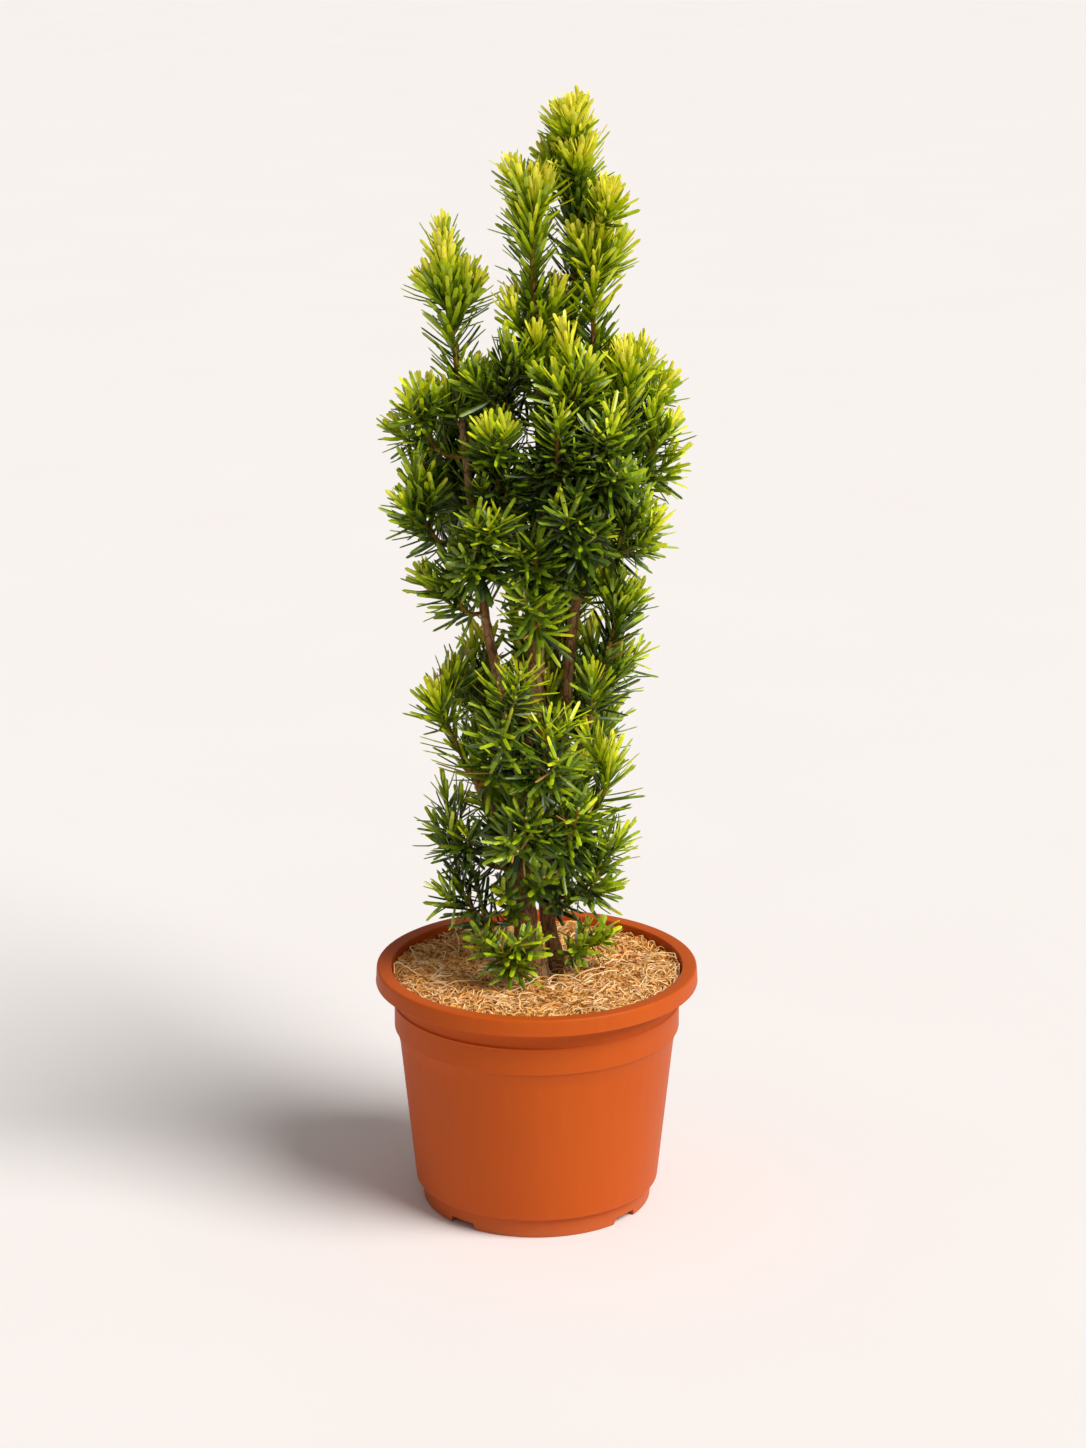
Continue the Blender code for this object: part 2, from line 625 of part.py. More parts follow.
def side_axis(path, where, turn, length, angle):
    """A side shoot that leaves its parent at an angle and bends upwards."""
    index = min(len(path) - 2, int(where * (len(path) - 1)))
    ahead = tangents(path)[index]
    across = unit(np.cross(ahead, SIDE_HINT))
    over = np.cross(ahead, across)
    out = across * math.cos(turn) + over * math.sin(turn)
    lean = math.radians(angle)
    away = ahead * math.cos(lean) + out * math.sin(lean)
    start = path[index]
    end = start + away * SIDE_OUT * length + np.array((0, 0, SIDE_UP * length))
    return bent_path(start, start + away * SIDE_BEND * length, end, RING_STEP)


def has_room(side, parent, shoots, plan):
    """Whether a side shoot stays clear of other shoots and of the limbs."""
    for point in side[2:]:
        if point[2] < SOIL_TOP + SIDE_ROOM:
            return False
        for other in shoots:
            if other is parent:
                continue
            if distance_to_path(point, other["path"]) < SIDE_ROOM:
                return False
        for limb in plan.values():
            if distance_to_path(point, limb["path"]) < SIDE_ROOM:
                return False
    return True


def make_space(shoots, plan):
    """Straight pieces of every shoot and limb, which share out the crown's space."""
    starts, ends, owner, mass = [], [], [], []
    for index, shoot in enumerate(shoots):
        count = len(shoot["path"]) - 1
        starts.extend(shoot["path"][:-1])
        ends.extend(shoot["path"][1:])
        owner.extend([index] * count)
        mass.extend([shoot["mass"]] * count)
    limbs = [(limb["path"], limb["radii"]) for limb in plan.values()]
    return {
        "starts": np.array(starts), "ends": np.array(ends),
        "owner": np.array(owner), "mass": np.array(mass),
        "limb_starts": np.concatenate([path[:-1] for path, _ in limbs]),
        "limb_ends": np.concatenate([path[1:] for path, _ in limbs]),
        "limb_radii": np.concatenate([radii[:-1] for _, radii in limbs]),
    }


def needle_fits(root, tip, index, mass, space):
    """Whether a needle stays in its shoot's own space, clear of limbs and of the fibre."""
    for share in NEEDLE_SPOTS:
        point = root + share * (tip - root)
        half = NEEDLE_HALF * (1 - share) + NEEDLE_TIP
        if point[2] < MULCH_CLEAR + half:
            return False
        far = distance(point, space["limb_starts"], space["limb_ends"])
        if (far - space["limb_radii"]).min() < half + GAP:
            return False
        far = distance(point, space["starts"], space["ends"])
        own = far[space["owner"] == index].min()
        kin = far[(space["mass"] == mass) & (space["owner"] != index)]
        if len(kin) and kin.min() < own + half:
            return False
        if far[space["mass"] != mass].min() < own + 2 * half:
            return False
    return True


def make_spray(index, shoot, space, paint):
    """One shoot: a slim core whose faces are drawn out into needles, bare at its foot."""
    path = shoot["path"]
    count = len(path)
    share = np.linspace(0, 1, count)
    radii = shoot["core"] + (CORE_TIP - shoot["core"]) * share
    radii[0] = CORE_FOOT
    bm, rows, cap = tube(path, radii, CORE_SIDES, twist=CORE_TWIST)
    along = tangents(path)
    run = np.concatenate(([0], np.cumsum(np.linalg.norm(np.diff(path, axis=0), axis=1))))
    for row, faces in enumerate(rows):
        if run[row] < BARE_FOOT:
            continue
        for face in faces:
            root = np.array(face.calc_center_median())
            ahead = along[row]
            out = root - 0.5 * (path[row] + path[row + 1])
            out = unit(out - ahead * np.dot(out, ahead))
            age = run[row + 1] / run[-1]
            low, high = NEEDLE_SPREAD
            lean = math.radians(low + (high - low) * age ** SPREAD_POWER)
            heading = unit(out * math.cos(lean) + ahead * math.sin(lean))
            full = NEEDLE_LENGTH * (1 - (1 - NEEDLE_YOUNG) * age ** YOUNG_POWER)
            for part in NEEDLE_TRIES:
                tip = root + heading * full * part
                if needle_fits(root, tip, index, shoot["mass"], space):
                    point = bmesh.ops.poke(bm, faces=[face])["verts"][0]
                    point.co = tip
                    break
    bud = bmesh.ops.poke(bm, faces=[cap])["verts"][0]
    bud.co = path[-1] + along[-1] * BUD_SHARE * NEEDLE_LENGTH
    bmesh.ops.triangulate(bm, faces=bm.faces)
    return make_object("spray_" + str(index), bm, paint)


def make_masses(plan, paint):
    """Each mass is the union of its main shoot and its side shoots."""
    shoots = grow_shoots(plan)
    space = make_space(shoots, plan)
    for name in MASSES:
        kin = [(index, shoot) for index, shoot in enumerate(shoots) if shoot["mass"] == name]
        sprays = [make_spray(index, shoot, space, paint) for index, shoot in kin]
        mass = sprays[0]
        mass.name = name
        mass.data.name = name
        if len(sprays) > 1:
            group = bpy.data.collections.new("sprays")
            for spray in sprays[1:]:
                group.objects.link(spray)
            apply_boolean(mass, "UNION", collection=group)
            for spray in sprays[1:]:
                bpy.data.objects.remove(spray, do_unlink=True)
            bpy.data.collections.remove(group)
            keep_largest_body(mass)


def main():
    clear_scene()
    make_pot(material("moulded_terracotta_plastic", (0.58, 0.12, 0.027), 0.42))
    make_soil(material("compost", (0.05, 0.03, 0.018), 0.95))
    make_mulch(material("coir_fibre", (0.52, 0.31, 0.10), 0.9))
    plan = limb_plan()
    make_limbs(plan, material("yew_bark", (0.22, 0.10, 0.05), 0.85))
    make_masses(plan, material("yew_needles", (0.20, 0.36, 0.03), 0.45))


main()
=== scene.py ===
"""Looks of a golden upright English yew in its moulded pot.

Metres, +Z up, X to the right and Y to the back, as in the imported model. The stems get bark with
real relief, the foliage masses are grown again as twigs and needles by the same rule as the
solids, the mulch becomes loose coir fibre, and the pot is turned with its rounded edges.
"""

import math
import random

import bmesh
import bpy
import numpy as np
from mathutils import Matrix, Vector, kdtree, noise


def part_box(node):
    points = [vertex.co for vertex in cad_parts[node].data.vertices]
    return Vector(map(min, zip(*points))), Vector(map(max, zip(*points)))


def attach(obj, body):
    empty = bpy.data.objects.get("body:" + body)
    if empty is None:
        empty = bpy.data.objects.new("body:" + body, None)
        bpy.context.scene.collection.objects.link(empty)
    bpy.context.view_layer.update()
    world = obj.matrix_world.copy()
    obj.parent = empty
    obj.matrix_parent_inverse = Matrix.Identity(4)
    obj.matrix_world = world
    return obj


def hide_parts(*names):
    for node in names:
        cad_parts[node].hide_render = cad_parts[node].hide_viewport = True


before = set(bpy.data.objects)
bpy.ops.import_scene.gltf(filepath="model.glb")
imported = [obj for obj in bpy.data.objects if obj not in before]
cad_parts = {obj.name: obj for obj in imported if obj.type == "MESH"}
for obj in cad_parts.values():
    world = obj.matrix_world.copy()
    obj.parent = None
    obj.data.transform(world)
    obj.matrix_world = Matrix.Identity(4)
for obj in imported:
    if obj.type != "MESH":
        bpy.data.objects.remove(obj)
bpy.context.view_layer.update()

MM = 0.001
SEED = 29
GAP = 0.3 * MM

# Camera: the photograph's viewing angle, fitted to the ellipses of the pot's rim and foot.
AIM = Vector((3.7 * MM, 0.0, 293.0 * MM))
CAMERA_DISTANCE = 1973 * MM
CAMERA_PITCH = math.radians(16.45)
CAMERA_LENS = 84.66
SENSOR = 36.0

# Light: the key's turn to the right of the camera, its height above the horizon and its breadth,
# in degrees, and how strong it and the air round the plant are.
KEY_TURN = 58.0
KEY_RISE = 46.0
KEY_BREADTH = 36.0
KEY_STRENGTH = 3.45
AIR_STRENGTH = 0.29

# Pot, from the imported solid: its height and the radius of its lip.
POT_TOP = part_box("pot")[1].z
LIP_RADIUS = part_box("pot")[1].x
LIP_DROP = 10.0 * MM
LIP_ROUND = 1.6 * MM
LIP_BEAD = 0.25 * MM
MOUTH_RADIUS = 86.0 * MM
MOUTH_DRAFT = 0.3 * MM
MOUTH_FLARE = 1.8 * MM
COLLAR_RADIUS = 84.4 * MM
COLLAR_FLARE = 0.7 * MM
COLLAR_FOOT = 100.5 * MM
COLLAR_SLANT = 7.5 * MM
COLLAR_EDGE = 1.0 * MM
COLLAR_EDGE_RISE = 0.6 * MM
COLLAR_LINE = 124.3 * MM
COLLAR_LINE_RISE = 0.9 * MM
NECK_DEPTH = 0.6 * MM
BODY_TOP_RADIUS = 81.4 * MM
FOOT_RADIUS = 68.0 * MM
FOOT_FLARE = 0.7 * MM
FOOT_HEIGHT = 12.0 * MM
FOOT_STEP = 3.6 * MM
POT_WALL = 2.0 * MM
FLOOR_HEIGHT = 6.0 * MM
RECESS_DEPTH = 2.5 * MM
RECESS_INNER = 36.0 * MM
RECESS_OUTER = 61.0 * MM
POT_STEPS = 160
# How far the pot's corners are rounded, from a mould's parting edge to a fair curve. A corner
# takes up at most this share of either of its sides.
FINE = 0.15 * MM
CRISP = 0.4 * MM
SOFT = 0.8 * MM
ROUND = 1.2 * MM
FAIR = 2.6 * MM
CORNER_SHARE = 0.45
# The foot's notches, in degrees from the front, and how far their cutters reach past its ring.
NOTCH_COUNT = 4
NOTCH_FIRST = 50.0
NOTCH_WIDTH = 22.0 * MM
NOTCH_HEIGHT = 4.0 * MM
NOTCH_SLANT = 3.0 * MM
NOTCH_INWARD = 3 * MM
NOTCH_OUTWARD = 5 * MM
# Points of a turned shape that lie closer than this are merged.
MERGE = 0.01 * MM

# Coir mat and its loose fibres.
SOIL_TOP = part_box("soil")[1].z
MAT_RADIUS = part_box("mulch")[1].x
MAT_THICKNESS = 3.6 * MM
MAT_DRAWN_IN = 2.5 * MM
MAT_FOOT_RISE = 1.8 * MM
MAT_SWELL = 1.6 * MM
MAT_HOLE = 21.0 * MM
MAT_CENTRE = Vector((2.0 * MM, 3.0 * MM, 0.0))
MAT_STEPS = 144
MAT_RINGS = 30
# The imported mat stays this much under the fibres, and thins out towards the hole.
MAT_BELOW = 0.8 * MM
MAT_EDGE = 0.15
MAT_EDGE_RISE = 2.2
# Its top is the sum of two waves, one across and back and a lower one aslant, and of fine lumps.
# Each length is a wave's, divided by tau, and the middle and the swing are shares of the swell.
SWELL_ACROSS = 11 * MM
SWELL_BACK = 13 * MM
SWELL_ASLANT = 7 * MM
SWELL_SHIFT = 0.6
ASLANT_SHARE = 0.6
SWELL_MIDDLE = 0.5
SWELL_SWING = 0.4
LUMP_SIZE = 6 * MM
LUMP_HEIGHT = 0.9 * MM
# The hole's edge goes in and out three and seven times a turn, by these shares of its radius.
HOLE_LOBES = 0.12
HOLE_TEETH = 0.08
# Loose fibres, and a few longer strands: their sides, the rings along each and the step between
# them, how far they stand off the mat, how much they curl, and their half widths in millimetres.
FIBRE = {"sides": 3, "rings": 7, "step": 2.1 * MM, "loft": 3.6 * MM, "curl": 0.42,
         "girths": (0.3, 0.48)}
STRAND = {"sides": 4, "rings": 16, "step": 2.8 * MM, "loft": 6.5 * MM, "curl": 0.12,
          "girths": (0.28, 0.42)}
PALE_COUNT = 2820
GOLDEN_COUNT = 4230
BROWN_COUNT = 2350
STRAND_COUNT = 130
# They start between this share of the hole's radius and this far inside the mat's edge, keep this
# far inside it, lie this deep in the mat, stand up by this share of their loft at their ends, and
# change their heading a little at each ring.
FIBRE_INNER = 0.9
FIBRE_MARGIN = 2 * MM
FIBRE_LIMIT = 0.6 * MM
FIBRE_DEPTH = 0.3 * MM
FIBRE_REST = 0.25
FIBRE_WANDER = 0.28
FIBRE_HINT = (0.1, 0.2, 1.0)
# Crumbs of compost: radii in millimetres, how far out they lie as a share of the hole's radius,
# the share of a crumb's radius that its middle stands up, and how lumpy and how flat it is.
CRUMB_COUNT = 420
CRUMB_RADII = (0.5, 1.5)
CRUMB_REACH = 1.15
CRUMB_RISE = 0.4
CRUMB_LUMPS = 0.3
CRUMB_FLAT = 0.7

# Limbs, in millimetres: carrier, height at which the limb leaves it, radius at the foot and at
# the tip, and way points. A limb with no carrier stands on the compost.
LIMB_STEP = 21.0 * MM
ROOT_FLARE = 0.42
ROOT_FLARE_HEIGHT = 9.0 * MM
FOOT_MM = (SOIL_TOP + GAP) / MM
LIMBS = {
    "trunk": (None, 0, 8.0, 1.9,
              [(-2, 0, FOOT_MM), (-8, 0, 190), (-4, 2, 250), (0, 1, 340), (3, -2, 432),
               (-2, -2, 545)]),
    "stem_right": (None, 0, 4.6, 1.8,
                   [(13, 10, FOOT_MM), (5, 10, 190), (14, 4, 262), (21, 0, 355), (33, 4, 440),
                    (32, 2, 520)]),
    "leader_left": ("trunk", 228, 4.0, 1.8, [(-17, -4, 300), (-31, -7, 370), (-45, -2, 502)]),
    "leader_top": ("trunk", 254, 3.2, 1.8, [(9, 17, 320), (17, 20, 430), (21, 10, 538)]),
    "leader_back": ("trunk", 200, 3.0, 1.7, [(-3, 24, 290), (-4, 33, 345), (-22, 40, 417)]),
    "leader_back_right": ("stem_right", 226, 2.8, 1.7,
                          [(18, 26, 290), (22, 35, 350), (38, 42, 422)]),
    "bough_right": ("stem_right", 362, 2.4, 1.6, [(37, -6, 401), (49, -8, 462)]),
    "branch_right_mid": ("stem_right", 258, 2.2, 1.5, [(27, -5, 284), (40, -6, 336)]),
    "branch_right_low": ("stem_right", 208, 2.0, 1.5, [(24, -6, 228), (34, -10, 244)]),
    "branch_left_low": ("trunk", 214, 2.2, 1.5, [(-28, -5, 246), (-47, -6, 284)]),
    "branch_back_low": ("trunk", 170, 2.4, 1.6, [(-12, 22, 208), (-24, 34, 248)]),
    "branch_back_right": ("stem_right", 168, 2.3, 1.6, [(18, 26, 200), (26, 36, 234)]),
}

# Foliage, in millimetres: the limb that carries the mass, the height on that limb at which its
# stem leaves, None for the limb's tip, and the point that its stem reaches.
MASSES = {
    "plume_top": ("leader_top", None, (25, 8, 643)),
    "plume_centre": ("trunk", None, (0, -4, 606)),
    "plume_right_top": ("stem_right", None, (41, 0, 598)),
    "plume_left": ("leader_left", None, (-51, -2, 566)),
    "plume_back": ("leader_back", None, (-27, 42, 488)),
    "plume_back_right": ("leader_back_right", None, (42, 42, 490)),
    "plume_right_shoulder": ("bough_right", None, (48, -6, 508)),
    "plume_right_mid": ("branch_right_mid", None, (49, -9, 365)),
    "plume_right_low": ("branch_right_low", None, (42, -14, 270)),
    "plume_left_low": ("branch_left_low", None, (-54, -8, 314)),
    "plume_back_low": ("branch_back_low", None, (-32, 44, 300)),
    "plume_back_right_low": ("branch_back_right", None, (28, 45, 286)),
    "spray_top_back": ("leader_top", 470, (6, 42, 528)),
    "spray_golden_centre": ("trunk", 452, (16, -22, 524)),
    "spray_left_inner": ("trunk", 470, (-17, -14, 516)),
    "spray_right_outer": ("bough_right", 432, (66, 2, 474)),
    "spray_right_front": ("stem_right", 430, (42, -34, 482)),
    "spray_right_low": ("bough_right", 398, (56, -22, 440)),
    "spray_right_back": ("stem_right", 450, (60, 30, 506)),
    "spray_left_upper": ("leader_left", 452, (-63, -6, 490)),
    "spray_left_mid": ("leader_left", 400, (-69, -12, 450)),
    "spray_left_front": ("leader_left", 386, (-34, -45, 424)),
    "spray_left_inner_front": ("leader_left", 424, (-22, -26, 474)),
    "spray_left_low": ("leader_left", 362, (-46, -17, 398)),
    "spray_left_back": ("leader_left", 418, (-52, 26, 468)),
    "spray_centre_front": ("trunk", 432, (12, -46, 482)),
    "spray_centre_low": ("trunk", 378, (0, -44, 410)),
    "spray_stem_star": ("trunk", 350, (2, -35, 375)),
    "spray_back_mid": ("leader_back", 362, (4, 60, 412)),
    "spray_back_left": ("leader_back", 372, (-46, 54, 422)),
    "spray_back_right": ("leader_back_right", 380, (48, 58, 434)),
    "spray_left_stem": ("trunk", 286, (-37, 20, 336)),
    "spray_front_left": ("leader_left", 284, (-22, -38, 328)),
    "spray_front_star": ("trunk", 258, (6, -40, 304)),
    "spray_left_base": ("trunk", 204, (-53, -4, 254)),
    "spray_front_base": ("trunk", 220, (-6, -45, 250)),
    "spray_right_skirt": ("stem_right", 184, (38, -16, 222)),
    "spray_left_skirt": ("trunk", 172, (-46, -18, 208)),
    "spray_left_bough": ("branch_left_low", 258, (-30, -30, 294)),
    "spray_right_bough": ("branch_right_mid", 296, (44, 14, 334)),
    "spray_front_right": ("stem_right", 220, (24, -40, 254)),
    "spray_right_centre": ("stem_right", 394, (22, -46, 438)),
    "spray_back_stem": ("leader_back", 262, (6, 52, 318)),
    "spray_foot_front": ("trunk", 147, (-21, -38, 170)),
    "spray_foot_right": ("stem_right", 148, (28, -4, 168)),
}

# Shoots as in the solids, and the finer twigs that grow on from them.
RING_STEP = 5.7 * MM
SIDE_SPACING_TIP = 15.0 * MM
SIDE_SPACING = 25.0 * MM
SIDE_LENGTH = 31.0 * MM
SIDE_ANGLE = 36.0
# On a mass at a limb's tip they are shorter and close up beside their parent, as in a brush.
PLUME_LENGTH = 28.0 * MM
PLUME_ANGLE = 27.0
SIDE_ROOM = 9.0 * MM
# A rule for shoots along a parent: they start this share of the way up it, are spread over this
# much of it, and each keeps to this part of its own stretch. Their length varies by two factors,
# and falls from the parent's foot towards its tip. Each turns on from the last by the golden
# angle, give or take this.
SIDE_RULE = {"start": 0.28, "run": 0.5, "spot": (0.2, 0.8), "vary": (0.75, 1.1), "at_foot": 1.15,
             "fall": 0.5, "swing": 0.4}
# A side shoot's end lies this share of its length out, and this share up.
SIDE_OUT = 0.8
SIDE_UP = 0.35
SIDE_BEND = 0.5
SIDE_HINT = (0.3, 0.2, 0.9)
STEM_BEND_TIP = 0.5
STEM_BEND_SIDE = 0.55
LIMB_TAPER = 0.85
GOLDEN_ANGLE = math.radians(137.508)
# A stem leaves its limb square to the way that the limb takes over this many millimetres.
LIMB_AHEAD = 2
# A shoot has to stay clear of others from this point of it on.
FREE_FROM = 2
TWIG_SPACING = 15.0 * MM
TWIG_LENGTH = 22.0 * MM
TWIG_ROOM = 6.0 * MM
TWIG_RULE = {"start": 0.15, "run": 0.6, "spot": (0.1, 0.9), "vary": (0.7, 1.2), "at_foot": 1.1,
             "fall": 0.4, "swing": 0.5}
# On a star's shoots twigs stand only on the lower part.
STAR_TWIG_RULE = {**TWIG_RULE, "run": 0.35}
# These masses hang before the bare stems and have no twigs.
BARE_MASSES = ("spray_stem_star",)
TWIG_RINGS = 8
TWIG_SIDES = 6
TWIG_TAPER = 0.55
# Twigs straight from the limbs: how far apart, how long, and the stretch where the stems show.
LIMB_TWIG_SPACING = 8.0 * MM
LIMB_TWIG_LENGTH = 26.0 * MM
LIMB_TWIG_FOOT = 158.0 * MM
TRUNK_TWIG_FOOT = 200.0 * MM
LIMB_TWIG_ROOM = 9.0 * MM
LIMB_TWIG_RULE = {"start": 0.0, "run": 1.0, "spot": (0.1, 0.9), "vary": (0.7, 1.15), "at_foot": 1.0,
                  "fall": 0.0, "swing": 0.5}
FRONT_STEMS = ("trunk", "stem_right", "leader_left")
BARE_FROM = 278.0 * MM
BARE_TO = 374.0 * MM
# Twigs before the foot of the stems, in millimetres: the mass they go with, their foot on the
# stem and their tip. They sag by this much.
FOOT_TWIG_SAG = 3.0 * MM
FOOT_TWIGS = (
    ("spray_foot_right", (6, 8, 184), (15, -18, 204)),
    ("spray_foot_right", (7, 8, 200), (26, -12, 226)),
    ("spray_foot_right", (8, 8, 172), (20, -6, 188)),
    ("spray_foot_front", (-4, -6, 190), (4, -26, 208)),
    ("spray_foot_front", (-9, -6, 176), (-20, -24, 198)),
)
# Needles also clothe the top of each limb, below its plume.
CLOTHED_LENGTH = 34.0 * MM
CLOTHED_POINTS = 60
# The plume at each limb's tip, which limb twigs and clothed limbs belong to.
TIP_PLUMES = {row[0]: name for name, row in MASSES.items() if row[1] is None}
MAIN_RADIUS = 1.45 * MM
SIDE_RADIUS = 1.05 * MM
TWIG_RADIUS = 0.75 * MM
TWIG_SINK = 2.5 * MM
# The first ring of a shoot is squared up from this direction, as others are for bark and fibres.
SHOOT_HINT = (0.3, 0.9, 0.1)

# Bark, drawn as real relief: the size of its plates, cracks and swells, and how deep each goes as
# a share of the limb's radius. Flutes run up from the foot. Slimmer limbs have less relief.
BARK_STEP = 1.4 * MM
BARK_HINT = (1.0, 0.2, 0.1)
STOUT_RADIUS = 4 * MM
STOUT_SIDES = 32
SLIM_SIDES = 20
PLATE_WIDTH = 2.6 * MM
PLATE_HEIGHT = 9 * MM
PLATE_DEPTH = 0.055
CRACK_WIDTH = 2.2 * MM
CRACK_HEIGHT = 14 * MM
CRACK_DEPTH = 0.075
SWELL_SIZE = 16 * MM
SWELL_DEPTH = 0.06
FLUTE_COUNT = 3
FLUTE_DEPTH = 0.10
FLUTE_TURN = 0.7
FULL_RELIEF = 2.2 * MM

# Needles: flat, blunt and slightly arched, in a spiral round each shoot.
NEEDLE_SPACING = 0.85 * MM
PLUME_NEEDLE_SPACING = 0.6 * MM
NEEDLE_LENGTH = 23.5 * MM
NEEDLE_WIDTH = 2.7 * MM
NEEDLE_THICKNESS = 0.85 * MM
# A needle is two blades, end in end: the younger outer one is a tint yellower. Each has its
# rings, as shares of the needle's length, and the width at each. The outer one ends in a point.
INNER_RINGS = (0.0, 0.22, 0.62)
INNER_SCALES = (0.45, 0.95, 1.0)
OUTER_RINGS = (0.58, 0.93, 1.0)
OUTER_SCALES = (0.97, 0.8)
OUTER_YOUNGER = 0.9
# Needles start this far up a shoot. Each keeps to this part of its own stretch.
NEEDLE_FOOT = 3.0 * MM
NEEDLE_SPOT = (0.1, 0.9)
LEAST_NEEDLES = 5
STEM_POINTS = 24
# Those on a limb's top are as old as those this share of the way up a shoot.
LIMB_AGE = 0.25
# How far needles lean ahead at a shoot's foot and at its tip, in degrees: on plumes they close
# into a brush, on the other masses less so, and on those that face outwards they open into a
# star.
BRUSH_SPREAD = (36.0, 76.0)
CROWN_SPREAD = (15.0, 68.0)
STAR_SPREAD = (6.0, 46.0)
STAR_MASSES = ("spray_left_front", "spray_centre_front", "spray_centre_low", "spray_stem_star",
               "spray_front_left", "spray_front_star", "spray_front_base", "spray_front_right",
               "spray_right_centre", "spray_foot_front", "spray_left_bough", "spray_right_front")
# The lean rises by this power of the way up. Each needle's own differs from it a little, in
# degrees, as do its turn round the shoot and the way it faces.
LEAN_CURVE = 1.6
LEAN_VARY = 6
NEEDLE_TURN_VARY = 0.18
FACE_VARY = 0.22
# Factors of a needle's length and width by chance, how much of the length goes towards a shoot's
# tip, and its factors on twigs and for the first few up a shoot.
LENGTH_VARY = (0.82, 1.08)
GIRTH_VARY = (0.85, 1.12)
TIP_SHORTER = 0.36
TWIG_NEEDLE = 0.8
PLUME_TWIG_NEEDLE = 0.92
FIRST_NEEDLES = 3
FIRST_LENGTH = 0.7
# How far a needle arches, as a share of its length: the middle and the swing, here and low down.
ARCH = (0.08, 0.06)
LOW_ARCH = (0.04, 0.16)
# Needles that run into a limb are left out. These shares of their length are looked at, and
# have to clear it by this gap.
CLEAR_SHARES = (0.55, 1.0)
CLEAR_GAP = 0.5 * MM
# Lower down, where less light comes, needles are longer and slimmer.
LOW_HEIGHT = 360 * MM
LOW_LENGTH = 1.1
LOW_WIDTH = 0.92
LOW_SPACING = 1.4
# The two sprays at the foot have short, broad needles.
SHORT_MASSES = ("spray_foot_front", "spray_foot_right")
SHORT_LENGTH = 0.72
SHORT_WIDTH = 1.3
# A bud's rings, as shares of its length from the shoot's end, and the width at each but the tip.
BUD_LENGTH = 2.6 * MM
BUD_RADIUS = 0.95 * MM
BUD_SIDES = 6
BUD_RINGS = (-0.35, 0.1, 0.45, 0.65)
BUD_SCALES = (0.55, 1.0, 0.75)
# Crowding, drawn as painted shade: a needle is darker the more other shoots lie within this distance
# of it, standing for the shade inside the crown. It is taken at a few points of each shoot, and the
# span is just under their number.
CROWD_REACH = 26 * MM
CROWD_POINTS = 6
CROWD_SPAN = 5.99

# Needle tints from the shaded inside of the crown to the youngest tips, and of dried needles.
TINTS = {"needles_deep": "#27350A", "needles_green": "#4A630A", "needles_mid": "#72890E",
         "needles_lime": "#AABE0E", "needles_yellow": "#D8DC1A", "needles_gold": "#F2EA40",
         "needles_dry": "#B98A48"}
# Low down, this share of the needles has dried, and shrunk to this share of its width.
DRY_SHARE = 0.012
DRY_GIRTH = 0.55
DRY_BELOW = 400 * MM
# What a needle's tint adds up from, in steps of tint: what all have, a whole shoot's and each
# needle's own swing, age on a plume and elsewhere, and the place in the crown: by how far out,
# high up, low down and to the right it is, and how many shoots crowd it. Far out and to the right,
# towards the key, it gets painted light; where shoots crowd it, painted shade.
TONE = {"all": 0.9, "shoot": 0.35, "needle": 0.46, "plume": 2.3, "spray": 1.9, "age_curve": 2.2,
        "outside_light": 1.1, "high": 0.8, "low": 0.7, "right": 0.15, "crowded_shade": 3.2}
OUTSIDE_RADIUS = 75 * MM
RIGHT_REACH = 70 * MM
HIGH_FROM = 400 * MM
HIGH_RUN = 250 * MM
LOW_FROM = 380 * MM
LOW_RUN = 120 * MM
# Masses more or less golden than the rest, as steps of tint, of which this share shows at a
# shoot's foot and the rest with age.
GOLD_AT_FOOT = 0.2
GOLD_WITH_AGE = 0.8
GOLDEN_MASSES = {
    "plume_top": 2.1, "plume_centre": 1.9, "plume_right_top": 2.2, "plume_left": 1.3,
    "plume_right_shoulder": 1.1, "spray_golden_centre": 0.8, "spray_right_back": 0.7,
    "spray_right_outer": 0.5, "plume_right_mid": 0.6, "plume_right_low": 0.4,
    "spray_front_right": -0.3, "spray_front_base": -0.3, "spray_left_skirt": -0.4,
    "plume_left_low": 0.5, "plume_back": 0.8, "plume_back_right": 0.9, "spray_left_mid": 0.5,
    "spray_left_upper": 0.5, "spray_left_stem": 1.8, "spray_right_bough": 0.3,
}

# Floor: half of its side, in metres, and how far it lies below the pot's foot.
FLOOR_HALF = 30.0
FLOOR_DROP = 0.2 * MM


# Nodes and materials

def linear(code, alpha=1.0):
    """Linear colour of an sRGB hex value."""
    parts = [int(code[start:start + 2], 16) / 255 for start in (1, 3, 5)]
    return (*[part / 12.92 if part <= 0.04045 else ((part + 0.055) / 1.055) ** 2.4
              for part in parts], alpha)


def add(tree, kind, inputs=None, **settings):
    """Add a node. Settings are its properties; an input is a value or another node's socket."""
    node = tree.nodes.new(kind)
    for name, value in settings.items():
        setattr(node, name, value)
    for name, value in (inputs or {}).items():
        if isinstance(value, bpy.types.NodeSocket):
            tree.links.new(value, node.inputs[name])
        else:
            node.inputs[name].default_value = value
    return node


def blank(name):
    """A new material, its empty tree of nodes, and its Object coordinates."""
    paint = bpy.data.materials.new(name)
    paint.use_nodes = True
    tree = paint.node_tree
    tree.nodes.clear()
    return paint, tree, add(tree, "ShaderNodeTexCoord").outputs["Object"]


def finished(paint, inputs):
    """The material with its Principled shader, whose inputs are values or sockets."""
    shader = add(paint.node_tree, "ShaderNodeBsdfPrincipled", inputs)
    add(paint.node_tree, "ShaderNodeOutputMaterial", {"Surface": shader.outputs["BSDF"]})
    return paint


